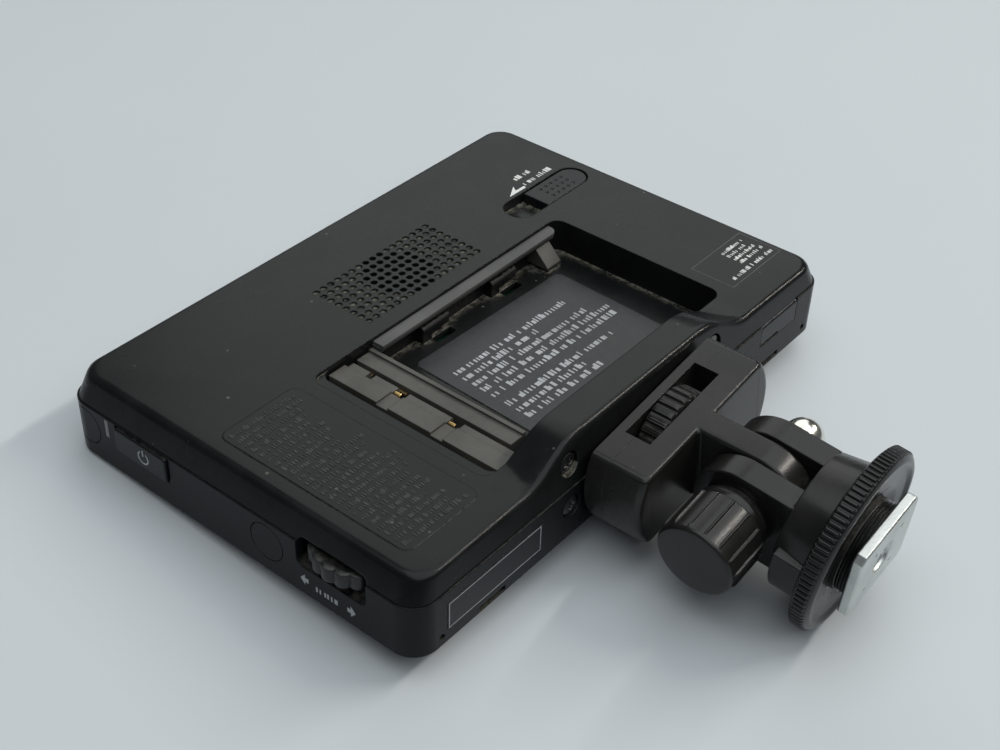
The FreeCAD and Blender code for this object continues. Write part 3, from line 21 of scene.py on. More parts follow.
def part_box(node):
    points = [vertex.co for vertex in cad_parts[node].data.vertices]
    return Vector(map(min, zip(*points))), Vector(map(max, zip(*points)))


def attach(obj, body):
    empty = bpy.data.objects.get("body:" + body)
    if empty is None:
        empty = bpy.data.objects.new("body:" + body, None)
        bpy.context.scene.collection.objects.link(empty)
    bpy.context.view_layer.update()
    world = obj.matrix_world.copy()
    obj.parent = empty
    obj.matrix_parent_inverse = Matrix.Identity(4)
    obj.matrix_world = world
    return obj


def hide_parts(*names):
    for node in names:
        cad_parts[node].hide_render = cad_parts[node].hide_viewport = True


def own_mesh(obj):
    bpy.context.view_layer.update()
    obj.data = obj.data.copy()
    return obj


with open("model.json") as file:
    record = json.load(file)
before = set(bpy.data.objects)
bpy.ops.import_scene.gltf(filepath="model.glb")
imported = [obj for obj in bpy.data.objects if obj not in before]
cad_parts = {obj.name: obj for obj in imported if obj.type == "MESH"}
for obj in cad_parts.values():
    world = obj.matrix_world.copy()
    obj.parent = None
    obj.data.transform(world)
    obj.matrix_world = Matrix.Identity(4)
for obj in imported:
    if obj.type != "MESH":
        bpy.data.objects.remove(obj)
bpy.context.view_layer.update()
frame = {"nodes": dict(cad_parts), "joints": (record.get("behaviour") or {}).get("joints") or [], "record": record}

LOG = logging.getLogger("field_monitor")
Colour = tuple[float, float, float]
Place = Sequence[float]
Array = np.ndarray
Shape = tuple[Array, Sequence[Sequence[int]]]
Swell = Callable[[Array, Array], Array]
EdgeTest = Callable[[Array], bool]
Socket = bpy.types.NodeSocket
MM = 0.001
PRINT_LIFT = 0.03
WELD = 2e-7
SOLID_WELD = 1e-6
FLAT_ANGLE = 0.02
BEND_MARGIN = 9.0
FULL_TURN = 2 * np.pi


@dataclass(frozen=True)
class Axes:
    """Right-handed axes in the row frame, in which shapes are given in millimetres."""

    origin: Array
    x: Array
    y: Array
    z: Array

    @property
    def rows(self) -> Array:
        """The three axes as the rows of a matrix."""
        return np.stack([self.x, self.y, self.z])

    def place(self, points: Array) -> Array:
        """Row-frame places, in metres, of points given in these axes."""
        return self.origin + MM * (np.asarray(points, float) @ self.rows)

    def locate(self, place: Array) -> Array:
        """Coordinates in these axes, in millimetres, of a place in the row frame."""
        return self.rows @ (place - self.origin) / MM

    def aim(self, direction: Place) -> Array:
        """Row-frame direction of a direction given in these axes."""
        return np.asarray(direction, float) @ self.rows


@dataclass(frozen=True)
class Rig:
    """The three sets of axes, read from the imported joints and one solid's box."""

    monitor: Axes
    mount: Axes
    fork: Axes

    @classmethod
    def from_frame(cls, panel_middle: float = 3.3) -> "Rig":
        """Reads the axes from the frame.

        Args:
            panel_middle: height of the screen panel's middle over the bezel's face, millimetres.

        Returns:
            The rig; the monitor's origin lies on the bezel's face under the panel's middle.
        """
        joints = {joint["name"]: joint for joint in frame["joints"]}

        def unit(name: str) -> Array:
            """Unit axis of a joint."""
            axis = np.array(joints[name]["axis"], float)
            return axis / np.linalg.norm(axis)

        right = np.array([1.0, 0.0, 0.0])
        up = unit("pawl_slide")
        back = np.cross(right, up)
        middle = np.mean(np.array(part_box("lcd_panel")), axis=0)
        hinge = unit("mount_tilt")
        inward = -unit("mount_swivel")
        heel = -unit("lock_ring_turn")
        return cls(
            Axes(middle - MM * panel_middle * back, right, up, back),
            Axes(np.array(joints["mount_swivel"]["pos_m"]), hinge, inward, np.cross(hinge, inward)),
            Axes(np.array(joints["mount_tilt"]["pos_m"]), hinge, heel, np.cross(hinge, heel)),
        )


class Bench:
    """A node tree with short calls for adding nodes and joining sockets."""

    def __init__(self, tree: NodeTree) -> None:
        """Keeps the tree that nodes are added to."""
        self.tree = tree

    def feed(self, socket: Socket, value: object) -> None:
        """Joins a socket to an input, or sets the input's own value."""
        if isinstance(value, Socket):
            self.tree.links.new(value, socket)
        else:
            socket.default_value = value

    def fill(self, node: Node, values: dict) -> Node:
        """Feeds a node's inputs, given by name or number."""
        for name, value in values.items():
            self.feed(node.inputs[name], value)
        return node

    def add(self, kind: str, values: dict | None = None, **settings: object) -> Node:
        """Adds a node.

        Args:
            kind: the node's type name after ShaderNode.
            values: values or sockets by input.
            settings: attributes of the node.

        Returns:
            The new node.
        """
        node = self.tree.nodes.new(f"ShaderNode{kind}")
        for name, value in settings.items():
            setattr(node, name, value)
        return self.fill(node, values or {})

    def place(self) -> Socket:
        """The object's own coordinates."""
        return self.add("TexCoord").outputs["Object"]

    def math(self, operation: str, first: object, second: object = 0.0, clamp: bool = False) -> Socket:
        """Result of a math node with two inputs."""
        return self.add("Math", {0: first, 1: second}, operation=operation, use_clamp=clamp).outputs[0]

    def times(self, first: object, second: object) -> Socket:
        """Product of two values."""
        return self.math("MULTIPLY", first, second)

    def plus(self, first: object, second: object) -> Socket:
        """Sum of two values."""
        return self.math("ADD", first, second)

    def mix(self, share: object, first: object, second: object) -> Socket:
        """Colour mixed from two colours by a share."""
        return self.add("Mix", {0: share, 6: first, 7: second}, data_type="RGBA").outputs[2]

    def ramp(self, value: object, low: float, high: float) -> Socket:
        """Value rising smoothly from 0 to 1 between two limits."""
        limits = {"Value": value, "From Min": low, "From Max": high}
        return self.add("MapRange", limits, interpolation_type="SMOOTHSTEP").outputs["Result"]

    def noise(self, place: Socket, scale: object, detail: float, **more: float) -> Socket:
        """Noise at a place."""
        values = {"Vector": place, "Scale": scale, "Detail": detail}
        return self.add("TexNoise", values | more).outputs["Fac"]

    def group(self, tree: NodeTree, **values: float) -> bpy.types.bpy_prop_collection:
        """Outputs of a shared group with its inputs set."""
        return self.add("Group", values, node_tree=tree).outputs


class Effects:
    """Shared surface effects as node groups, each built once."""

    def __init__(self) -> None:
        """Builds every group."""
        self.grain = self._grain()
        self.edge = self._edge()
        self.dust = self._dust()
        self.scuff = self._scuff()

    @staticmethod
    def _start(name: str, inputs: dict[str, float], **outputs: str) -> tuple[Bench, dict, dict]:
        """Opens a group.

        Args:
            name: the group's name.
            inputs: value inputs with their defaults.
            outputs: outputs with their kinds, Float or Vector.

        Returns:
            The group's bench, its input sockets and its output sockets, by name.
        """
        tree = bpy.data.node_groups.new(name, "ShaderNodeTree")
        for label, value in inputs.items():
            socket = tree.interface.new_socket(label, in_out="INPUT", socket_type="NodeSocketFloat")
            socket.default_value = value
        for label, kind in outputs.items():
            tree.interface.new_socket(label, in_out="OUTPUT", socket_type=f"NodeSocket{kind}")
        entry = tree.nodes.new("NodeGroupInput")
        leave = tree.nodes.new("NodeGroupOutput")
        return Bench(tree), {s.name: s for s in entry.outputs}, {s.name: s for s in leave.inputs}

    def _grain(self) -> NodeTree:
        """Fine moulded grain: a tight noise for height and a broad one for tone."""
        bench, given, out = self._start("fine_grain", {"Scale": 3500.0}, Height="Float", Tone="Float")
        place = bench.place()
        bench.feed(out["Height"], bench.noise(place, given["Scale"], 2.0, Roughness=0.6))
        bench.feed(out["Tone"], bench.ramp(bench.noise(place, 60.0, 4.0, Roughness=0.65), 0.3, 0.7))
        return bench.tree

    def _edge(self) -> NodeTree:
        """Broken edges: the normal rounded over a radius."""
        bench, given, out = self._start("broken_edge", {"Radius": 0.0003}, Normal="Vector")
        soft = bench.add("Bevel", {"Radius": given["Radius"]}, samples=6)
        bench.feed(out["Normal"], soft.outputs["Normal"])
        return bench.tree

    def _dust(self) -> NodeTree:
        """Settled dust: specks and clouds on faces that look up, and grit in corners."""
        inputs = {"Specks": 0.3, "Cloud": 0.0, "Corners": 0.0}
        bench, given, out = self._start("settled_dust", inputs, Mask="Float")
        place = bench.place()
        cells = bench.add("TexVoronoi", {"Vector": place, "Scale": 420.0, "Randomness": 1.0}).outputs
        pick = bench.add("SeparateColor", {"Color": cells["Color"]}).outputs[0]
        size = bench.times(bench.ramp(pick, 0.9, 1.0), 0.16)
        speck = bench.times(bench.math("LESS_THAN", cells["Distance"], size), given["Specks"])
        mist = bench.noise(place, 700.0, 5.0, Roughness=0.7)
        cloud = bench.times(bench.ramp(mist, 0.42, 0.75), given["Cloud"])
        surface = bench.add("NewGeometry").outputs
        reach = {"Distance": 0.0035, "Normal": surface["True Normal"]}
        open_sky = bench.add("AmbientOcclusion", reach, samples=8).outputs["AO"]
        nook = bench.ramp(bench.math("SUBTRACT", 1.0, open_sky), 0.22, 0.55)
        grit = bench.times(bench.times(nook, bench.ramp(mist, 0.38, 0.62)), given["Corners"])
        height = bench.add("SeparateXYZ", {"Vector": surface["Normal"]}).outputs["Z"]
        lying = bench.plus(speck, bench.plus(cloud, grit))
        bench.feed(out["Mask"], bench.math("MULTIPLY", lying, bench.ramp(height, 0.2, 0.8), clamp=True))
        return bench.tree

    def _scuff(self) -> NodeTree:
        """Fine scuffs: thin broken lines from a stretched, bent noise."""
        bench, given, out = self._start("fine_scuffs", {"Amount": 0.3, "Scale": 40.0}, Mask="Float")
        place = bench.place()
        stretch = {"Vector": place, "Rotation": (0.3, 0.2, 0.7), "Scale": (1.0, 14.0, 6.0)}
        bent = bench.add("Mapping", stretch).outputs[0]
        lines = bench.noise(bent, given["Scale"], 3.0, Distortion=0.6)
        thin = bench.ramp(bench.math("ABSOLUTE", bench.math("SUBTRACT", lines, 0.5)), 0.02, 0.0)
        where = bench.ramp(bench.noise(place, 25.0, 2.0), 0.55, 0.7)
        bench.feed(out["Mask"], bench.times(bench.times(thin, where), given["Amount"]))
        return bench.tree


def opaque(colour: Colour, factor: float = 1.0, lift: float = 0.0) -> tuple[float, ...]:
    """A colour times a factor plus a lift, with full opacity."""
    return tuple(min(1.0, c * factor + lift) for c in colour) + (1.0,)


def blank_material(name: str) -> tuple[Material, Bench, Node]:
    """A new material, the bench of its nodes and its main shader."""
    made = bpy.data.materials.new(name)
    made.use_nodes = True
    return made, Bench(made.node_tree), made.node_tree.nodes["Principled BSDF"]


DUST_COLOUR: Colour = (0.20, 0.19, 0.155)


@dataclass(frozen=True)
class Finish:
    """A moulded, painted or plated surface and the wear on it."""

    name: str
    slot: str
    colour: Colour
    roughness: float = 0.45
    metallic: float = 0.0
    specular: float = 0.4
    grain: float = 3500.0
    grain_depth: float = 0.00002
    edge_radius: float = 0.0003
    tone: float = 0.25
    specks: float = 0.0
    cloud: float = 0.0
    corners: float = 0.0
    scuffs: float = 0.0

    def material(self, effects: Effects) -> Material:
        """Builds the material.

        Args:
            effects: the shared node groups.

        Returns:
            A material whose colour, roughness and normal follow grain, edges, scuffs and dust.
        """
        made, bench, shader = blank_material(self.name)
        grain = bench.group(effects.grain, Scale=self.grain)
        edge = bench.group(effects.edge, Radius=self.edge_radius)
        tone = grain["Tone"]
        colour = bench.mix(tone, opaque(self.colour, 1 - self.tone), opaque(self.colour, 1 + self.tone))
        rough = bench.plus(bench.times(tone, 0.08), self.roughness - 0.04)
        if self.scuffs:
            scuff = bench.group(effects.scuff, Amount=self.scuffs)["Mask"]
            colour = bench.mix(scuff, colour, opaque(self.colour, 2.0, 0.03))
            rough = bench.plus(rough, bench.times(scuff, 0.2))
        if self.specks or self.cloud or self.corners:
            wear = {"Specks": self.specks, "Cloud": self.cloud, "Corners": self.corners}
            dust = bench.group(effects.dust, **wear)["Mask"]
            colour = bench.mix(dust, colour, opaque(DUST_COLOUR))
            rough = bench.plus(rough, bench.times(dust, 0.4))
        skin = {"Height": grain["Height"], "Strength": 0.6, "Distance": self.grain_depth,
                "Normal": edge["Normal"]}
        normal = bench.add("Bump", skin).outputs["Normal"]
        bench.fill(shader, {"Base Color": colour, "Roughness": rough, "Normal": normal,
                            "Metallic": self.metallic, "Specular IOR Level": self.specular})
        return made


@dataclass(frozen=True)
class ClearFinish:
    """Clear acrylic of the screen window."""

    name: str
    slot: str
    colour: Colour
    roughness: float = 0.04
    bending: float = 1.49

    def material(self, effects: Effects) -> Material:
        """Builds a clear material whose gloss is broken by faint smears."""
        made, bench, shader = blank_material(self.name)
        smear = bench.plus(bench.times(bench.group(effects.grain)["Tone"], 0.05), self.roughness)
        bench.fill(shader, {"Roughness": smear, "Base Color": opaque(self.colour),
                            "Transmission Weight": 1.0, "IOR": self.bending})
        return made


def ink(name: str, colour: Colour, tone: float = 0.25) -> Finish:
    """Thin matt print."""
    return Finish(name, "light_white", colour, 0.6, tone=tone, edge_radius=0.00002)


def metal(name: str, slot: str, colour: Colour, roughness: float, **more: float) -> Finish:
    """Bare or plated metal."""
    return Finish(name, slot, colour, roughness, metallic=1.0, specular=0.5, **more)


FINISHES: dict[str, Finish | ClearFinish] = {
    "cover": Finish("cover_black", "case_black", (0.0078, 0.0082, 0.0084), 0.27, specular=0.185,
                    grain=4200.0, edge_radius=0.00035, specks=0.35, corners=0.9, scuffs=0.16),
    # Letters: the cover's plastic painted lighter, as a painted highlight on the raised letters.
    "letters": Finish("letters_painted_highlight", "case_black", (0.021, 0.0215, 0.0215), 0.40, specks=0.2,
                      edge_radius=0.00008),
    "frame": Finish("frame_black", "frame_black", (0.0060, 0.0065, 0.0075), 0.28, specular=0.13,
                    specks=0.2, corners=0.25, scuffs=0.08),
    "control": Finish("control_black", "control_black", (0.0085, 0.0090, 0.0100), 0.28, specular=0.20,
                      specks=0.15, corners=0.25),
    "mount": Finish("mount_black", "mount_black", (0.0135, 0.0131, 0.0124), 0.24, specular=0.32,
                    grain=2600.0, grain_depth=0.00003, edge_radius=0.0002, specks=0.25, corners=0.2,
                    scuffs=0.12),
    "ring": Finish("ring_black", "mount_black", (0.0100, 0.0101, 0.0102), 0.25, specular=0.32,
                   grain=2600.0, edge_radius=0.00012, specks=0.15, corners=0.04, scuffs=0.1),
    "jog": Finish("jog_black", "control_black", (0.010, 0.010, 0.010), 0.36, specks=0.2, cloud=0.2),
    "terminal": Finish("terminal_grey", "terminal_grey", (0.062, 0.060, 0.053), 0.5, specks=0.3,
                       cloud=0.08, corners=0.3, scuffs=0.15),
    "rail": Finish("rail_grey", "terminal_grey", (0.068, 0.069, 0.067), 0.5, specks=0.3, corners=0.2,
                   scuffs=0.15),
    "label": Finish("label_film", "label_grey", (0.024, 0.026, 0.028), 0.36, specular=0.3, grain=1500.0,
                    specks=0.25, cloud=0.06),
    "print": ink("white_print", (0.62, 0.64, 0.62), 0.08),
    "grey_print": ink("grey_print", (0.33, 0.35, 0.36), 0.12),
    "faint_print": ink("faint_print", (0.10, 0.10, 0.10)),
    "film_print": ink("film_print", (0.34, 0.355, 0.365), 0.15),
    "gold": metal("contact_gold", "contact_gold", (0.60, 0.42, 0.17), 0.3, tone=0.2),
    "dull_gold": metal("blade_gold", "contact_gold", (0.16, 0.12, 0.06), 0.45),
    "steel": metal("sheet_steel", "sheet_steel", (0.52, 0.52, 0.50), 0.35, grain=900.0, tone=0.15),
    "screw": Finish("screw_black", "screw_black", (0.10, 0.10, 0.10), 0.28, metallic=0.9, specular=0.5,
                    tone=0.3, edge_radius=0.0001),
    "chrome": metal("nut_chrome", "nut_chrome", (0.82, 0.80, 0.73), 0.19, tone=0.06, scuffs=0.2),
    "zinc": metal("foot_zinc", "foot_zinc", (0.58, 0.605, 0.585), 0.36, grain=1400.0,
                  grain_depth=0.00006, tone=0.16, scuffs=0.6),
    "rubber": Finish("pad_rubber", "pad_rubber", (0.02, 0.02, 0.02), 0.8, specular=0.2),
    "nylon": Finish("washer_nylon", "washer_nylon", (0.55, 0.55, 0.50), 0.5),
    "board": Finish("board_green", "board_green", (0.005, 0.022, 0.012), 0.35, tone=0.3),
    "light": Finish("light_pipe", "light_white", (0.16, 0.165, 0.165), 0.45),
    "screen": Finish("screen_dark", "screen_dark", (0.008, 0.009, 0.012), 0.12, tone=0.1,
                     grain_depth=0.000001),
    "window": ClearFinish("window_clear", "window_clear", (0.86, 0.88, 0.9)),
}
BODY_OF: dict[str, str] = {
    node: body for body, nodes in frame["record"]["behaviour"]["bodies"].items() for node in nodes
}
DRESSED: dict[str, tuple[str, ...]] = {
    "light": ("light_lens",),
    "terminal": ("jog_carrier", "jog_base", "terminal_block", "latch_pawl"),
    "dull_gold": ("battery_contacts",),
    "screw": ("block_screws", "power_switch", "speaker", "case_screws"),
    "steel": ("thumb_screw", "socket_bracket", "hinge_bolt", "panel_chassis", "video_socket"),
    "nylon": ("friction_washers",),
    "window": ("screen_window",),
    "screen": ("lcd_panel",),
    "board": ("main_board", "control_board"),
}


class Facing(Enum):
    """Where a shape's own X, Y and Z point; Z is the way that a mark or a turned piece looks."""

    BACK = ((1, 0, 0), (0, 1, 0), (0, 0, 1))
    LEFT = ((0, -1, 0), (0, 0, 1), (-1, 0, 0))
    RIGHT = ((0, 1, 0), (0, 0, 1), (1, 0, 0))
    OUT = ((1, 0, 0), (0, 0, 1), (0, -1, 0))


def stand(name: str, data: bpy.types.ID) -> Object:
    """A new object in the scene."""
    made = bpy.data.objects.new(name, data)
    bpy.context.scene.collection.objects.link(made)
    return made


def closed_mesh(name: str, axes: Axes, shape: Shape) -> Mesh:
    """Mesh of a shape, with its seams and poles closed and its faces outwards.

    Args:
        name: the mesh's name.
        axes: the axes that the shape is given in.
        shape: points in millimetres, and corner numbers of each face.

    Returns:
        The mesh in the row frame.
    """
    mesh = bpy.data.meshes.new(name)
    mesh.from_pydata(axes.place(shape[0]).tolist(), [], [list(face) for face in shape[1]])
    work = bmesh.new()
    work.from_mesh(mesh)
    bmesh.ops.remove_doubles(work, verts=work.verts, dist=WELD)
    bmesh.ops.recalc_face_normals(work, faces=work.faces)
    work.to_mesh(mesh)
    work.free()
    return mesh


def change(piece: Object, kind: str, **settings: object) -> None:
    """Puts the result of one modifier into a piece's mesh."""
    modifier = piece.modifiers.new(kind, kind)
    for name, value in settings.items():
        setattr(modifier, name, value)
    graph = bpy.context.evaluated_depsgraph_get()
    mesh = bpy.data.meshes.new_from_object(piece.evaluated_get(graph))
    piece.modifiers.clear()
    piece.data = mesh


@dataclass
class Workshop:
    """Materials by name, and the making of mesh pieces."""

    materials: dict[str, Material] = field(default_factory=dict)

    def mix_finishes(self) -> None:
        """Builds every finish's material."""
        effects = Effects()
        self.materials = {name: finish.material(effects) for name, finish in FINISHES.items()}

    def dress(self) -> None:
        """Gives a finish to each solid that keeps its own mesh."""
        for node, finish in ((node, finish) for finish, nodes in DRESSED.items() for node in nodes):
            mesh = frame["nodes"][node].data
            mesh.materials.clear()
            mesh.materials.append(self.materials[finish])
            LOG.info("dressed %s", node)

    @staticmethod
    def merged_copy(node: str, bend: float | None, outside: EdgeTest | None) -> Mesh:
        """Copies a solid's mesh and joins its faces at their shared points.

        Args:
            node: the solid's name.
            bend: least turn, radians, of the edges that are marked for rounding; None marks none.
            outside: says from an edge's middle, in the row frame, whether that edge is marked.

        Returns:
            The new mesh.
        """
        mesh = frame["nodes"][node].data.copy()
        for stored in ("custom_normal", "sharp_edge"):
            if stored in mesh.attributes:
                mesh.attributes.remove(mesh.attributes[stored])
        work = bmesh.new()
        work.from_mesh(mesh)
        bmesh.ops.remove_doubles(work, verts=work.verts, dist=SOLID_WELD)
        if bend is not None:
            bmesh.ops.dissolve_limit(work, angle_limit=FLAT_ANGLE, verts=work.verts, edges=work.edges)
            weight = work.edges.layers.float.new("bevel_weight_edge")
            for line in work.edges:
                middle = np.array((line.verts[0].co + line.verts[1].co) / 2)
                line[weight] = float(line.calc_face_angle(0.0) > bend and (not outside or outside(middle)))
        work.to_mesh(mesh)
        work.free()
        return mesh

    def smooth(self, finish: str, *nodes: str, angle: float = 31.0, drill: Mesh | None = None,
               edge: float = 0.0, outside: EdgeTest | None = None) -> list[Object]:
        """Stands merged, smooth-shaded copies in for solids.

        Args:
            finish: name of the finish.
            nodes: the solids' names.
            angle: edges sharper than this stay sharp, degrees.
            drill: closed mesh that is cut out of the copies.
            edge: radius that sharp edges are rounded to, millimetres.
            outside: says from an edge's middle, in the row frame, whether that edge is rounded.

        Returns:
            The copies, in the order of the nodes.
        """
        copies = []
        for node in nodes:
            bend = math.radians(angle + BEND_MARGIN) if edge else None
            piece = stand(f"{node}_skin", self.merged_copy(node, bend, outside))
            if drill is not None:
                tool = stand("drill", drill)
                change(piece, "BOOLEAN", operation="DIFFERENCE", solver="EXACT", object=tool)
                bpy.data.objects.remove(tool)
            if edge:
                change(piece, "BEVEL", width=MM * edge, segments=3, limit_method="WEIGHT",
                       use_clamp_overlap=False)
            piece.data.shade_smooth()
            piece.data.set_sharp_from_angle(angle=math.radians(angle))
            change(piece, "WEIGHTED_NORMAL", keep_sharp=True)
            self.hand_over(piece, finish, BODY_OF[node], node)
            copies.append(piece)
        return copies

    def hand_over(self, piece: Object, finish: str, body: str, *nodes: str) -> None:
        """Gives a piece its finish and its body, and hides the solids that it stands for."""
        piece.data.materials.clear()
        piece.data.materials.append(self.materials[finish])
        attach(piece, body)
        if nodes:
            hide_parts(*nodes)
        LOG.info("made %s with %d faces", piece.name, len(piece.data.polygons))

    def piece(self, name: str, axes: Axes, shape: Shape, finish: str, body: str, *nodes: str,
              sharp: float = 35.0) -> None:
        """Makes a mesh piece that rides on a body.

        Args:
            name: the piece's name.
            axes: the axes that its points are given in.
            shape: points in millimetres, and corner numbers of each face.
            finish: name of its finish.
            body: the body that it rides on.
            nodes: solids that it stands for.
            sharp: edges sharper than this stay sharp, degrees.
        """
        mesh = closed_mesh(name, axes, shape)
        mesh.shade_smooth()
        mesh.set_sharp_from_angle(angle=math.radians(sharp))
        self.hand_over(stand(name, mesh), finish, body, *nodes)


def grid_shape(x: Array, y: Array, z: Array) -> Shape:
    """Surface over a grid of points, whose last column joins the first.

    Args:
        x, y, z: coordinates, each of shape (rows, columns).

    Returns:
        Points of shape (n, 3) and faces of shape (m, 4).
    """
    rows, columns = x.shape
    row = np.arange(rows - 1)[:, None] * columns
    column = np.arange(columns)[None, :]
    after = (column + 1) % columns
    corners = [row + column, row + after, row + columns + after, row + columns + column]
    faces = np.stack(np.broadcast_arrays(*corners), axis=-1).reshape(-1, 4)
    return np.stack([x, y, z], axis=-1).reshape(-1, 3), faces


def disc_grid(rim: float, rings: int, spokes: int) -> tuple[Array, Array]:
    """Radii and angles of a closed disc, whose last two rings lie underneath.

    Args:
        rim: outer radius.
        rings: rings from the middle to the rim.
        spokes: points in each ring.

    Returns:
        Two arrays of shape (rings + 2, spokes).
    """
    radius = np.r_[np.linspace(0.0, rim, rings), rim, 0.0][:, None]
    angle = np.linspace(0.0, FULL_TURN, spokes, endpoint=False)[None, :]
    return radius + np.zeros_like(angle), angle + np.zeros_like(radius)


def turned(profile: Sequence[Place], segments: int, swell: Swell | None = None) -> Shape:
    """Surface of revolution about Z.

    Each point lies at its radius times (cos, sin) of its angle and at the profile's height.

    Args:
        profile: places of (radius, height); a ring's profile ends where it starts.
        segments: number of steps round the axis.
        swell: extra radius from the grids of angle and height.

    Returns:
        The surface's points and faces.
    """
    spots = np.asarray(profile, float)
    angle = np.linspace(0.0, FULL_TURN, segments, endpoint=False)[None, :] + np.zeros((len(spots), 1))
    height = spots[:, 1:] + np.zeros_like(angle)
    radius = spots[:, :1] + np.zeros_like(angle)
    if swell is not None:
        radius = radius + swell(angle, height)
    return grid_shape(radius * np.cos(angle), radius * np.sin(angle), height)


def arc(centre: Place, radius: float, start: float, end: float, steps: int) -> list[tuple[float, float]]:
    """Points of an arc about a centre, between two angles in degrees."""
    turns = np.radians(np.linspace(start, end, steps + 1))
    return list(zip(centre[0] + radius * np.cos(turns), centre[1] + radius * np.sin(turns)))


def smooth_step(value: Array, low: float, high: float) -> Array:
    """Smooth rise from 0 to 1 between two limits."""
    share = np.clip((value - low) / (high - low), 0.0, 1.0)
    return share * share * (3 - 2 * share)


def ridge_wave(angle: Array, count: int, land: float, slope: float) -> Array:
    """Wave of ridges from 0 to 1 round a rim.

    Args:
        angle: angles, radians.
        count: number of ridges.
        land: share of each step that a ridge's top takes.
        slope: share of each step that each flank takes.

    Returns:
        Wave height at each angle, with smooth flanks.
    """
    share = np.abs((angle * count / FULL_TURN) % 1.0 - 0.5)
    return smooth_step(-share, -land / 2 - slope, -land / 2)


def between(height: Array, low: float, high: float, ease: float) -> Array:
    """Window that is 1 between two heights and falls smoothly to 0 at them."""
    return smooth_step(height, low, low + ease) * smooth_step(-height, -high, ease - high)


def prism(outline: Sequence[Place], low: float, high: float) -> Shape:
    """Closed prism on a flat outline between two heights."""
    flat = np.asarray(outline, float)
    count = len(flat)
    points = np.concatenate([np.c_[flat, np.full(count, level)] for level in (low, high)])
    start = np.arange(count)
    after = (start + 1) % count
    sides = np.stack([start, after, after + count, start + count], axis=1).tolist()
    return points, [start[::-1].tolist(), (start + count).tolist()] + sides


def joined(shapes: Sequence[Shape]) -> Shape:
    """One shape from several, with corner numbers moved up."""
    offsets = np.cumsum([0] + [len(points) for points, _ in shapes[:-1]])
    faces = [[int(corner) + int(offset) for corner in face]
             for (_, part), offset in zip(shapes, offsets) for face in part]
    return np.concatenate([points for points, _ in shapes]), faces


def moved(shape: Shape, facing: Facing, start: Place) -> Shape:
    """A shape turned to a facing and moved to a start point."""
    return np.asarray(shape[0]) @ np.array(facing.value, float) + np.array(start, float), shape[1]


def bars(spans: Sequence[Place], bottom: float, top: float) -> Shape:
    """Closed bars on rectangles between two heights.

    Args:
        spans: rectangles as (left, right, low, high).
        bottom: lower height.
        top: upper height.

    Returns:
        Points of shape (8n, 3) and faces of shape (6n, 4).
    """
    left, right, low, high = np.asarray(spans, float).T
    corners = np.stack([np.c_[left, low], np.c_[right, low], np.c_[right, high], np.c_[left, high]], axis=1)
    count = len(corners)
    levels = [np.concatenate([corners, np.full((count, 4, 1), level)], axis=2) for level in (bottom, top)]
    pattern = np.array([[3, 2, 1, 0], [4, 5, 6, 7], [0, 1, 5, 4], [1, 2, 6, 5], [2, 3, 7, 6], [3, 0, 4, 7]])
    faces = (np.arange(count)[:, None, None] * 8 + pattern[None]).reshape(-1, 4)
    return np.concatenate(levels, axis=1).reshape(-1, 3), faces


def ticks(rows: Sequence[Place], seed: int, step: float, stroke: float, bottom: float = 0.0,
          top: float = PRINT_LIFT) -> Shape:
    """Rows of small upright ticks in groups, which stand where lines of print would be.

    In each row the ticks follow each other at a random step, with a wider gap after every few, until the
    row's end; their heights differ a little.

    Args:
        rows: (start, end, base, height) of each row.
        seed: seed of the random steps.
        step: mean step between ticks.
        stroke: width of a tick.
        bottom: lower height.
        top: upper height.

    Returns:
        The ticks as closed bars.
    """
    lines = np.asarray(rows, float)
    chance = np.random.default_rng(seed)
    room = int(np.ceil((lines[:, 1] - lines[:, 0]).max() / (0.7 * step)))
    size = (len(lines), room)
    stride = step * chance.uniform(0.75, 1.25, size) + 1.1 * step * (chance.uniform(size=size) < 0.17)
    left = lines[:, :1] + np.cumsum(stride, axis=1) - stride[:, :1]
    right = left + stroke * chance.choice([0.8, 1.0, 1.7], size)
    tall = lines[:, 3:] * chance.choice([0.68, 0.72, 1.0], size)
    base = lines[:, 2:3] + np.zeros(size)
    keep = right <= lines[:, 1:2]
    return bars(np.stack([left[keep], right[keep], base[keep], (base + tall)[keep]], axis=1), bottom, top)


def frame_spans(left: float, right: float, low: float, high: float, line: float) -> list[Place]:
    """The four bars of a rectangular border as (left, right, low, high)."""
    return [
        (left, right, high - line, high),
        (left, right, low, low + line),
        (left, left + line, low + line, high - line),
        (right - line, right, low + line, high - line),
    ]


@dataclass
class Assembly:
    """A sub-assembly: the workshop that makes its pieces and the axes that they are given in."""

    shop: Workshop
    axes: Axes

    def mark(self, name: str, shape: Shape, finish: str, facing: Facing = Facing.BACK,
             start: Place = (0, 0, 0), body: str = "case") -> None:
        """Adds a piece, turned to a facing and moved to a start point."""
        self.shop.piece(name, self.axes, moved(shape, facing, start), finish, body)

    def renew(self, node: str, shape: Shape, finish: str, facing: Facing = Facing.BACK,
              start: Place = (0, 0, 0), sharp: float = 35.0) -> None:
        """Stands a finer piece in for a solid, on the same body."""
        place = moved(shape, facing, start)
        self.shop.piece(f"{node}_fine", self.axes, place, finish, BODY_OF[node], node, sharp=sharp)


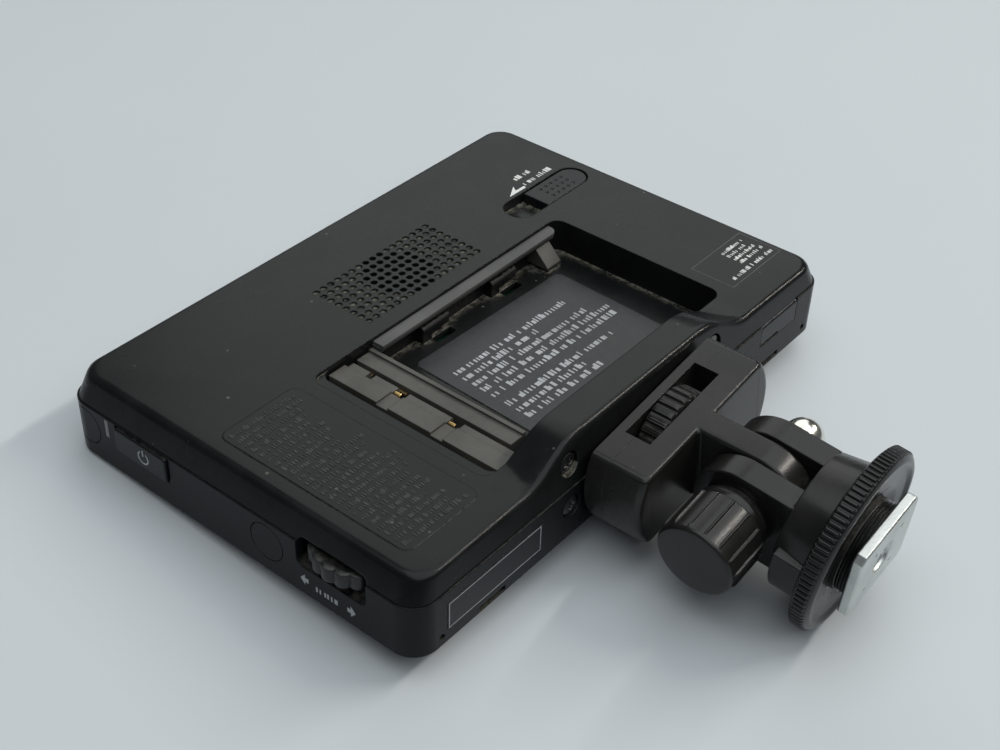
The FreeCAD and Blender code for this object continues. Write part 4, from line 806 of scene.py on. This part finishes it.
@dataclass
class Shell(Assembly):
    """Cover and frame, with the grille, the moulded panel and the printed places on them."""

    back_plane: float = 16.8
    panel_plane: float = 16.95
    lower_face: float = -43.0
    grille_columns: int = 17
    grille_rows: int = 8
    grille_pitch: float = 2.0
    grille_middle: tuple[float, float] = (1.25, 19.1)
    hole_radius: float = 0.69
    hole_steps: int = 14
    open_reach: float = 7.4
    letter_lines: int = 23
    letter_left: float = -55.7
    letter_width: float = 16.4
    letter_top: float = 5.9
    letter_bottom: float = -34.3
    letter_height: float = 1.15
    letter_rise: float = 0.09

    def grille_drill(self) -> Mesh:
        """Round cutters of the grille: long ones over the speaker's cone, short domed ones round it.

        One cutter is a turned profile; the grid of places shifts it, and a place's distance from the middle
        chooses its depth.

        Returns:
            All cutters as one mesh.
        """
        column, row = np.meshgrid(np.arange(self.grille_columns), np.arange(self.grille_rows))
        across = (column.ravel() - (self.grille_columns - 1) / 2) * self.grille_pitch
        along = (row.ravel() - (self.grille_rows - 1) / 2) * self.grille_pitch
        radius = self.hole_radius
        mouth = [(radius, 0.8), (0, 0.8)]
        dimple = turned([(0, -0.62), (0.55 * radius, -0.56), (radius, -0.36)] + mouth, self.hole_steps)
        bore = turned([(0, -2.2), (radius, -2.2)] + mouth, self.hole_steps)
        cutters = []
        for x, y in zip(across, along):
            place = (self.grille_middle[0] + x, self.grille_middle[1] + y, self.back_plane)
            cutter = bore if math.hypot(x, y) < self.open_reach else dimple
            cutters.append(moved(cutter, Facing.BACK, place))
        return closed_mesh("grille_drill", self.axes, joined(cutters))

    def letters(self) -> None:
        """Lines of raised ticks on the moulded panel, in the cover's plastic painted lighter to stand in for
        highlights on the letters.
        """
        chance = np.random.default_rng(5)
        left = self.letter_left
        ends = left + self.letter_width * chance.uniform(0.72, 1.0, self.letter_lines)
        bases = np.linspace(self.letter_top, self.letter_bottom, self.letter_lines)
        rows = [(left, end, base, self.letter_height) for end, base in zip(ends, bases)]
        shape = ticks(rows, 11, 0.58, 0.26, -0.05, self.letter_rise)
        # The letters finish is the cover's plastic painted lighter to stand in for highlights.
        self.mark("panel_lettering", shape, "letters", start=(0, 0, self.panel_plane))

    def corner_print(self) -> None:
        """Moulded border and small printed lines in the cover's far corner."""
        border = bars(frame_spans(41.0, 58.8, -34.5, -24.4, 0.14), -0.02, 0.03)
        lines = [(49.5, 57.4, -26.6, 0.9), (49.5, 56.3, -28.1, 0.9), (49.5, 57.6, -29.6, 0.9),
                 (49.5, 57.9, -31.1, 0.9), (43.5, 58.0, -33.3, 1.0)]
        print_ticks = ticks(lines, 3, 0.55, 0.26)
        self.mark("corner_border", border, "faint_print", start=(0, 0, self.back_plane))
        self.mark("corner_print", print_ticks, "print", start=(0, 0, self.back_plane))

    def release_sign(self) -> None:
        """White arrow and two short printed lines beside the release slider."""
        arrow = [(38.0, 20.25), (43.3, 20.15), (43.6, 20.85), (40.8, 20.95), (41.8, 22.4)]
        lines = [(44.1, 49.7, 23.4, 1.4), (44.0, 53.8, 20.7, 1.4)]
        print_ticks = ticks(lines, 8, 0.72, 0.34)
        shape = joined([prism(arrow, 0.0, PRINT_LIFT), print_ticks])
        self.mark("release_sign", shape, "print", start=(0, 0, self.back_plane))

    def bare_sticker(self) -> None:
        """Bare black sticker with a thin white border on the long side."""
        plate = prism([(-55.4, 3.3), (-30.8, 3.3), (-30.8, 9.4), (-55.4, 9.4)], 0.0, 0.05)
        border = bars(frame_spans(-55.1, -31.1, 3.5, 9.1, 0.16), 0.04, 0.07)
        start = (0, self.lower_face, 0)
        self.mark("side_sticker", plate, "control", Facing.OUT, start)
        self.mark("sticker_border", border, "grey_print", Facing.OUT, start)

    def build(self) -> None:
        """Skins the shell and adds its marks."""
        self.shop.smooth("cover", "back_cover", drill=self.grille_drill())
        self.shop.smooth("frame", "front_frame")
        self.letters()
        self.corner_print()
        self.release_sign()
        self.bare_sticker()


@dataclass
class ControlSide(Assembly):
    """Power button, light, screw caps and jog wheel on the short side."""

    left_face: float = -63.0
    sign_place: tuple[float, float, float] = (-63.6, 21.35, 8.9)
    jog_middle: tuple[float, float, float] = (-55.4, -24.2, 8.7)
    jog_radius: float = 9.0
    jog_bore: float = 1.55
    jog_teeth: int = 18
    jog_depth: float = 0.6
    jog_thickness: float = 3.2
    cap_radius: float = 3.74
    cap_depth: float = 0.4
    cap_places: tuple[float, ...] = (37.8, -9.2)
    cap_height: float = 7.3
    corner_start: float = 38.0
    corner_radius: float = 5.0

    def power_sign(self) -> None:
        """Plain power sign on the button: an open ring with a bar in its gap."""
        ring = arc((0, 0), 1.45, 125, 415, 28) + arc((0, 0), 1.12, 415, 125, 28)
        bar = [(-0.17, 0.35), (0.17, 0.35), (0.17, 1.7), (-0.17, 1.7)]
        shape = joined([prism(outline, 0.0, PRINT_LIFT) for outline in (ring, bar)])
        self.mark("power_sign", shape, "grey_print", Facing.LEFT, self.sign_place, "power_button")

    def jog_arrows(self) -> None:
        """Two grey arrows with a short printed line between them, under the jog wheel."""
        half = [(0.0, 0.0), (1.1, 1.2), (1.1, 0.45), (1.9, 0.45)]
        outline = half + [(u, -v) for u, v in half[:0:-1]]
        marks = []
        for y, z, way in ((-17.0, 4.15, -1.0), (-29.7, 3.75, 1.0)):
            marks.append(prism([(-y - way * u, z + v) for u, v in outline], 0.0, PRINT_LIFT))
        marks.append(ticks([(20.6, 25.9, 3.05, 1.5)], 4, 0.85, 0.42))
        self.mark("jog_arrows", joined(marks), "grey_print", Facing.LEFT, (self.left_face, 0, 0))

    def caps(self) -> None:
        """Screw caps that follow the side: discs whose face falls back where the corner turns."""
        radius, angle = disc_grid(self.cap_radius, 12, 48)
        made = []
        for middle in self.cap_places:
            y = middle + radius * np.cos(angle)
            past = np.clip(y - self.corner_start, 0.0, self.corner_radius)
            fall = self.corner_radius - np.sqrt(self.corner_radius ** 2 - past ** 2)
            x = self.left_face + fall + 0.08 * smooth_step(fall, 0.25, 0.5)
            x[-2:] += self.cap_depth
            made.append(grid_shape(x, y, self.cap_height + radius * np.sin(angle)))
        self.renew("screw_caps", joined(made), "frame")

    def jog_wheel(self) -> None:
        """Jog wheel with a scalloped rim: the radius falls by a rounded wave between its teeth."""
        top = self.jog_thickness
        rim = self.jog_radius
        bore = self.jog_bore
        profile = [(bore, 0), (rim - 0.5, 0), (rim - 0.12, 0.14), (rim, 0.5), (rim, top - 0.5),
                   (rim - 0.12, top - 0.14), (rim - 0.45, top), (rim - 1.6, top), (rim - 1.9, top - 0.18),
                   (bore, top - 0.18), (bore, 0)]

        def scallop(angle: Array, height: Array) -> Array:
            """Drop of the radius: zero on a tooth's crown, the tooth depth in a trough."""
            drop = np.zeros_like(height)
            rim_rows = slice(1, 7)
            drop[rim_rows] = (1 - np.abs(np.cos(angle * self.jog_teeth / 2)) ** 0.8)[rim_rows]
            return -self.jog_depth * drop

        self.renew("jog_wheel", turned(profile, self.jog_teeth * 14, scallop), "jog", start=self.jog_middle)

    def build(self) -> None:
        """Skins the side's controls and adds its signs."""
        self.shop.smooth("control", "power_button", edge=0.45)
        self.shop.smooth("control", "socket_cover", edge=0.1)
        self.caps()
        self.power_sign()
        self.jog_arrows()
        self.jog_wheel()


@dataclass
class BatteryBay(Assembly):
    """Terminal block, rail, label and latch in the bay."""

    label_middle: tuple[float, float, float] = (8.6, -14.6, 9.7)
    label_turn: float = -2.0
    label_left: float = -18.6
    tip_x: float = -26.3
    tip_top: float = 15.0
    tip_width: float = 1.5
    tip_places: tuple[float, ...] = (-5.4, -18.4)
    ledge_runs: tuple[tuple[float, float], ...] = ((6.9, 2.6), (1.2, -4.4), (-7.2, -17.4), (-20.2, -33.0))
    hook_starts: tuple[float, ...] = (-6.4, 14.5)
    hook_length: float = 7.8
    bay_high: float = 7.8
    bay_low: float = -33.7
    pawl_travel: float = 3.25

    def label_print(self) -> None:
        """Lines of pale ticks on the bay's label plate, turned with it."""
        ends = (14.5, 3.0, 15.5, 19.5, 19.0, 13.0, 1.5, 4.0)
        bases = (8.2, 5.8, 3.4, 1.0, -1.4, -5.2, -7.6, -10.0)
        rows = [(self.label_left, end, base, 1.55) for end, base in zip(ends, bases)]
        points, faces = ticks(rows, 21, 0.88, 0.42)
        turn = math.radians(self.label_turn)
        c, s = math.cos(turn), math.sin(turn)
        spin = np.array([[c, s, 0], [-s, c, 0], [0, 0, 1]])
        self.mark("label_print", (points @ spin, faces), "film_print", start=self.label_middle)

    def spring(self) -> None:
        """Latch spring: a smooth-shaded copy with a mesh of its own."""
        piece = self.shop.smooth("steel", "latch_spring")[0]
        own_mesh(piece)

    def ledges(self) -> None:
        """Lower step along the outer bar, broken at the contacts: a profile run along Y."""
        profile = [(-26.45, 12.4), (-24.3, 12.4), (-24.3, 14.65), (-24.55, 14.9), (-26.45, 14.9)]
        runs = [moved(prism(profile, 0.0, start - end), Facing.OUT, (0, start, 0))
                for start, end in self.ledge_runs]
        self.mark("terminal_steps", joined(runs), "terminal")

    def rail_bead(self) -> None:
        """Raised face of the rail, round at its free end."""
        outline = [(-18.4, 5.1), (33.4, 5.1)] + arc((33.4, 6.9), 1.8, -90, 0, 8)
        outline += [(35.2, 7.7), (-18.4, 7.7)]
        self.mark("rail_bead", prism(outline, 15.4, 16.15), "rail")

    def hook_heads(self) -> None:
        """Raised heads of the hooks on both long walls: a profile with a broken edge, run along X."""
        half = [(0.05, 12.05), (2.2, 12.05), (2.2, 12.75), (1.75, 13.2), (0.05, 13.2)]
        heads = []
        for start in self.hook_starts:
            for wall, way in ((self.bay_high, -1), (self.bay_low, 1)):
                profile = [(wall + way * reach, height) for reach, height in half]
                heads.append(moved(prism(profile, 0.0, self.hook_length), Facing.RIGHT, (start, 0, 0)))
        self.mark("hook_heads", joined(heads), "control")

    def contact_tips(self) -> None:
        """Bent tips of the contacts at the outer bar's edge: a strip that rises and curls over.

        A strip's outline is a path of an upright run and a quarter turn, offset by its thickness and carried
        along Y by its width.
        """
        outer = [(0.0, -2.4), (0.0, -0.6)] + arc((0.6, -0.6), 0.6, 180, 75, 6)
        inner = arc((0.6, -0.6), 0.42, 75, 180, 6) + [(0.18, -2.4)]
        strip = prism(outer + inner, 0.0, self.tip_width)
        tips = [moved(strip, Facing.OUT, (self.tip_x, y + self.tip_width / 2, self.tip_top))
                for y in self.tip_places]
        self.mark("contact_tips", joined(tips), "gold")

    def build(self) -> None:
        """Skins the bay's fittings and adds their finer pieces."""
        self.shop.smooth("rail", "battery_rail")
        self.shop.smooth("label", "bay_label")
        self.shop.smooth("control", "release_slider", edge=0.2)
        self.spring()
        self.ledges()
        self.rail_bead()
        self.hook_heads()
        self.label_print()
        self.contact_tips()


@dataclass
class SideScrews(Assembly):
    """Screws beside the mount."""

    head_radius: float = 1.95
    head_height: float = 1.1
    head_fall: float = 0.28
    cross_depth: float = 0.55
    head_places: tuple[tuple[float, float], ...] = ((7.5, -41.7), (16.6, -40.633))
    head_x: float = 22.4

    def build(self) -> None:
        """Screw heads with a cross recess: a low dome over the radius, sunk where the cross is."""
        radius, angle = disc_grid(self.head_radius, 26, 72)
        x, y = radius * np.cos(angle), radius * np.sin(angle)
        arms = [smooth_step(-np.abs(u), -0.34, -0.22) * smooth_step(-np.abs(v), -1.2, -0.95)
                for u, v in ((x, y), (y, x))]
        height = self.head_height - self.head_fall * (radius / self.head_radius) ** 2
        height = height - self.cross_depth * np.maximum(*arms)
        height[-2:] = 0.0
        head = grid_shape(x, y, height)
        heads = [moved(head, Facing.OUT, (side * self.head_x, seat, z))
                 for side in (-1, 1) for z, seat in self.head_places]
        self.renew("side_screws", joined(heads), "screw")


@dataclass
class MountBlock(Assembly):
    """Mount block with its pad and thumb wheel."""

    wheel_start: float = -2.1
    slot_half: float = 10.6
    slot_end: float = -7.4
    block_split: float = -3.85
    block_back: float = -0.3
    edge_margin: float = 0.1
    wheel_radius: float = 9.3
    wheel_depth: float = 0.6
    wheel_teeth: int = 28
    wheel_thickness: float = 4.6
    line_height: float = 0.035
    screw_bore: float = 3.28

    def outer_edge(self, place: Array) -> bool:
        """Whether a place on the block lies away from the joint of its halves, its slot and its back."""
        x, y, _ = self.axes.locate(place)
        near = self.edge_margin
        in_slot = abs(x) < self.slot_half + near and y > self.slot_end - near
        return not in_slot and abs(y - self.block_split) > near and y < self.block_back

    def thumb_wheel(self) -> None:
        """Thumb wheel with round-ended teeth: ridges over a root circle, with fine lines on their tops."""
        root = self.wheel_radius - self.wheel_depth
        deep = self.wheel_thickness
        bore = self.screw_bore
        profile = [(bore, 0), (root - 0.5, 0), (root - 0.12, 0.08)]
        profile += [(root, height) for height in np.linspace(0.22, deep - 0.22, 15)]
        profile += [(root - 0.12, deep - 0.08), (root - 0.5, deep), (bore, deep), (bore, 0)]

        def teeth(angle: Array, height: Array) -> Array:
            """Height of the teeth over the root: ridge wave, rounded off at both ends, with fine lines."""
            end = np.clip(np.minimum(height, deep - height) / 0.9, 0.0, 1.0)
            crown = np.sqrt(np.clip(1 - (1 - end) ** 2, 0.0, 1.0))
            lines = self.line_height * np.cos(angle * self.wheel_teeth * 4)
            rise = ridge_wave(angle, self.wheel_teeth, 0.52, 0.11)
            rise[:3] = 0.0
            rise[-4:] = 0.0
            return rise * ((self.wheel_depth - self.line_height) * crown + lines * crown)

        shape = turned(profile, self.wheel_teeth * 18, teeth)
        self.renew("thumb_wheel", shape, "mount", Facing.OUT, (0, self.wheel_start, 0))

    def build(self) -> None:
        """Skins the block and adds the wheel."""
        self.shop.smooth("mount", "block_rear", "block_front", edge=0.8, outside=self.outer_edge)
        self.shop.smooth("rubber", "mount_pad")
        self.thumb_wheel()


@dataclass
class TiltHead(Assembly):
    """Fork with the knob, the nut and the bolt of the tilt joint."""

    knob_start: float = 8.8
    knob_radius: float = 7.5
    knob_collar_radius: float = 6.9
    knob_collar: float = 2.4
    knob_top: float = 12.6
    knob_round: float = 0.8
    knob_crown: float = 0.35
    knob_ribs: int = 15
    rib_rise: float = 0.4
    rib_end: float = 11.6
    nut_start: float = 8.05
    nut_collar_radius: float = 4.7
    nut_radius: float = 3.9
    nut_shoulder: float = 5.4

    def knob(self) -> None:
        """Tilt knob: turned barrel with narrow round ribs and a low crown on its cap."""
        rim = self.knob_radius
        top = self.knob_top
        collar = self.knob_collar_radius
        seam = self.knob_collar
        flat = rim - self.knob_round
        profile = [(0, 7.5), (2.02, 7.5), (2.02, 0), (collar - 0.7, 0)]
        profile += arc((collar - 0.7, 0.7), 0.7, -90, 0, 4)
        profile += [(collar, seam - 0.25), (collar - 0.15, seam - 0.1), (rim - 0.35, seam),
                    (rim, seam + 0.3)]
        barrel = len(profile)
        profile += [(rim, height) for height in np.linspace(seam + 0.45, self.rib_end + 0.05, 20)]
        profile += arc((flat, top - self.knob_round), self.knob_round, 0, 84, 7)
        profile += [(share * flat, top + self.knob_crown * (1 - share * share))
                    for share in (0.95, 0.7, 0.45, 0.2, 0)]

        def ribs(angle: Array, height: Array) -> Array:
            """Height of the ribs over the barrel, rounded off at both ends."""
            rise = ridge_wave(angle, self.knob_ribs, 0.03, 0.08) * between(height, seam, self.rib_end, 0.5)
            rise[:barrel] = 0.0
            return self.rib_rise * rise

        shape = turned(profile, self.knob_ribs * 48, ribs)
        self.renew("tilt_knob", shape, "mount", Facing.LEFT, (-self.knob_start, 0, 0), sharp=50.0)

    def nut(self) -> None:
        """Cap nut: collar with broken edges, plain barrel and a half-round dome."""
        collar = self.nut_collar_radius
        barrel = self.nut_radius
        profile = [(0, 5.4), (2.1, 5.4), (2.1, 0), (collar - 0.3, 0), (collar, 0.3), (collar, 1.0),
                   (collar - 0.3, 1.3), (barrel + 0.1, 1.32), (barrel, 1.5), (barrel, 3.5)]
        profile += arc((0, self.nut_shoulder), barrel, 0, 90, 20)
        self.renew("cap_nut", turned(profile, 72), "chrome", Facing.RIGHT, (self.nut_start, 0, 0))

    def build(self) -> None:
        """Skins the fork and adds knob and nut."""
        self.shop.smooth("mount", "fork", edge=0.25)
        self.shop.smooth("screw", "knob_washer")
        self.knob()
        self.nut()


@dataclass
class Shoe(Assembly):
    """Lock ring, threaded neck, foot and rivet of the shoe mount."""

    ring_start: float = 16.3
    ring_radius: float = 17.6
    ring_thickness: float = 3.8
    ring_teeth: int = 96
    ring_depth: float = 0.45
    bore: float = 9.05
    neck_start: float = 20.12
    neck_length: float = 1.86
    neck_radius: float = 8.5
    thread_pitch: float = 0.62
    thread_depth: float = 0.46
    rivet_radius: float = 2.19
    foot_face: float = 24.0
    dish_radius: float = 3.3
    dish_depth: float = 0.7
    pit_reach: float = 6.3
    pit_radius: float = 0.5

    def lock_ring(self) -> None:
        """Lock ring: ridged rim between plain bevels, dished face and a coned mouth."""
        root = self.ring_radius - self.ring_depth
        deep = self.ring_thickness
        bore = self.bore
        profile = [(bore, 0), (root - 0.5, 0), (root - 0.05, 0.22)]
        profile += [(root, height) for height in np.linspace(0.3, deep - 0.75, 12)]
        rim_end = len(profile)
        profile += [(root + 0.05, deep - 0.6), (root - 0.1, deep - 0.45), (root - 0.75, deep - 0.02),
                    (root - 1.0, deep), (15.65, deep), (15.5, deep - 0.05), (15.1, deep - 0.46),
                    (14.9, deep - 0.5), (11.4, deep - 0.5), (11.1, deep - 0.6), (bore, deep - 1.5),
                    (bore, 0)]

        def ridges(angle: Array, height: Array) -> Array:
            """Height of the rim's ridges over the root, rounded off at both ends."""
            rise = ridge_wave(angle, self.ring_teeth, 0.42, 0.14) * between(height, 0.22, deep - 0.65, 0.3)
            rise[rim_end:] = 0.0
            return self.ring_depth * rise

        shape = turned(profile, self.ring_teeth * 8, ridges)
        self.renew("lock_ring", shape, "ring", Facing.OUT, (0, -self.ring_start, 0))

    def neck_thread(self) -> None:
        """Thread on the neck: a rounded ridge whose phase turns once for each pitch of height."""
        inner = self.neck_radius - 0.4
        profile = [(inner, 0)]
        profile += [(self.neck_radius, height) for height in np.linspace(0.0, self.neck_length, 44)]
        profile += [(inner, self.neck_length), (inner, 0)]

        def ridge(angle: Array, height: Array) -> Array:
            """Height of the thread over its root."""
            phase = FULL_TURN * height / self.thread_pitch - angle
            rise = self.thread_depth * (0.5 + 0.5 * np.cos(phase)) ** 0.8
            rise[[0, -2, -1]] = 0.0
            return rise

        start = (0, -self.neck_start, 0)
        self.mark("neck_thread", turned(profile, 120, ridge), "ring", Facing.OUT, start, "fork")

    def foot_drill(self) -> Mesh:
        """Cutters of the foot's sunk middle, with a broken edge, and of four punched pits round it."""
        wide = self.dish_radius
        deep = -self.dish_depth
        pit = self.pit_radius
        dish = turned([(0, deep), (wide - 0.35, deep), (wide - 0.1, -0.12), (wide + 0.1, 0.02),
                       (wide + 0.1, 0.6), (0, 0.6)], 48)
        punch = turned([(0, -0.45), (0.5 * pit, -0.4), (pit, 0.02), (pit, 0.6), (0, 0.6)], 16)
        cutters = [moved(dish, Facing.OUT, (0, -self.foot_face, 0))]
        for x, z in arc((0, 0), self.pit_reach, 40, 310, 3):
            cutters.append(moved(punch, Facing.OUT, (x, -self.foot_face, z)))
        return closed_mesh("foot_drill", self.axes, joined(cutters))

    def rivet(self) -> None:
        """Staked rivet: a sunk middle with a low pip, a raised rim and four nicks in it."""
        radius, angle = disc_grid(self.rivet_radius, 20, 96)
        rim = between(radius, 1.3, self.rivet_radius, 0.4)
        nick = smooth_step(np.cos(4 * angle), 0.8, 0.97) * between(radius, 1.2, 2.1, 0.3)
        pip = smooth_step(-radius, -0.75, -0.55)
        height = 0.5 * rim - 0.3 * nick + 0.25 * pip - self.dish_depth - 0.3
        height[-2:] = -1.5
        shape = grid_shape(radius * np.cos(angle), radius * np.sin(angle), height)
        self.renew("foot_rivet", shape, "zinc", Facing.OUT, (0, -self.foot_face, 0))

    def build(self) -> None:
        """Skins the foot and adds ring, thread and rivet."""
        self.shop.smooth("zinc", "shoe_foot", angle=20.0, drill=self.foot_drill())
        self.lock_ring()
        self.neck_thread()
        self.rivet()


@dataclass
class Studio:
    """Pale table, soft lamps and the camera."""

    rig: Rig
    eye: tuple[float, float, float] = (-187.776, -156.453, 192.450)
    azimuth: float = -51.768
    elevation: float = 38.018
    roll: float = 1.832
    focal: float = 1558.73
    image_width: float = 1000.0
    sensor: float = 36.0
    floor_half: float = 4.0
    floor_colour: Colour = (0.500, 0.535, 0.557)
    room_colour: Colour = (0.85, 0.92, 1.0)
    room_level: float = 0.07

    def camera(self) -> None:
        """Places the camera: back, right and up follow from azimuth, elevation and roll."""
        a, e, r = (math.radians(v) for v in (self.azimuth, self.elevation, self.roll))
        back = np.array([math.sin(a) * math.cos(e), -math.cos(a) * math.cos(e), math.sin(e)])
        right = np.array([math.cos(a), math.sin(a), 0.0])
        up = np.cross(back, right)
        right, up = math.cos(r) * right + math.sin(r) * up, -math.sin(r) * right + math.cos(r) * up
        data = bpy.data.cameras.new("camera")
        data.sensor_width = self.sensor
        data.lens = self.focal * self.sensor / self.image_width
        data.clip_start = 0.01
        made = stand("camera", data)
        columns = [self.rig.monitor.aim(direction) for direction in (right, up, back)]
        rows = np.eye(4)
        rows[:3] = np.stack(columns + [self.rig.monitor.place(np.array(self.eye))], axis=1)
        made.matrix_world = Matrix(rows.tolist())
        bpy.context.scene.camera = made

    def floor(self) -> None:
        """Lays a pale table with a faint mottle."""
        half = self.floor_half
        mesh = bpy.data.meshes.new("table")
        corners = [(-half, -half, 0), (half, -half, 0), (half, half, 0), (-half, half, 0)]
        mesh.from_pydata(corners, [], [(0, 1, 2, 3)])
        made, bench, shader = blank_material("table")
        mottle = bench.noise(bench.place(), 9.0, 3.0)
        colour = bench.mix(mottle, opaque(self.floor_colour, 0.97), opaque(self.floor_colour, 1.03))
        bench.fill(shader, {"Base Color": colour, "Roughness": 0.55, "Specular IOR Level": 0.08})
        mesh.materials.append(made)
        table = stand("table", mesh)

    def lamp(self, name: str, place: Place, size: tuple[float, float], power: float, colour: Colour,
             roll: float = 0.0) -> None:
        """Adds a soft lamp that looks at the object.

        Args:
            name: the lamp's name.
            place: its place, metres.
            size: its width and height, metres.
            power: its power, watts.
            colour: its colour.
            roll: its turn about the line to the object, degrees.
        """
        data = bpy.data.lights.new(name, "AREA")
        data.shape = "RECTANGLE"
        data.size, data.size_y = size
        data.energy = power
        data.color = colour
        made = stand(name, data)
        made.location = place
        aim = (-Vector(place)).to_track_quat("-Z", "Y").to_matrix()
        made.rotation_euler = (aim @ Matrix.Rotation(math.radians(roll), 3, "Z")).to_euler()

    def build(self) -> None:
        """Sets up camera, table, lamps, world and view."""
        self.camera()
        self.floor()
        self.lamp("right_strip", (0.95, -0.52, 0.99), (0.05, 0.90), 9.5, (1.0, 0.95, 0.87), 48.0)
        self.lamp("back_softbox", (1.0, 0.80, 0.98), (1.05, 1.05), 4.6, (0.97, 1.0, 0.99))
        self.lamp("top_softbox", (-0.10, -0.25, 1.40), (2.1, 2.1), 25.0, (0.95, 0.98, 1.0))
        world = bpy.data.worlds.new("room")
        world.use_nodes = True
        sky = world.node_tree.nodes["Background"]
        sky.inputs["Color"].default_value = opaque(self.room_colour)
        sky.inputs["Strength"].default_value = self.room_level
        scene = bpy.context.scene
        scene.world = world
        scene.view_settings.view_transform = "Standard"


def main() -> None:
    """Builds the object's sub-assemblies in order, then the studio."""
    logging.basicConfig(level=logging.INFO, format="%(message)s")
    rig = Rig.from_frame()
    shop = Workshop()
    shop.mix_finishes()
    shop.dress()
    plan = ((Shell, rig.monitor), (ControlSide, rig.monitor), (BatteryBay, rig.monitor),
            (MountBlock, rig.mount), (SideScrews, rig.monitor), (TiltHead, rig.fork), (Shoe, rig.fork))
    for assembly, axes in plan:
        assembly(shop, axes).build()
    Studio(rig).build()


if __name__ == "__main__":
    main()
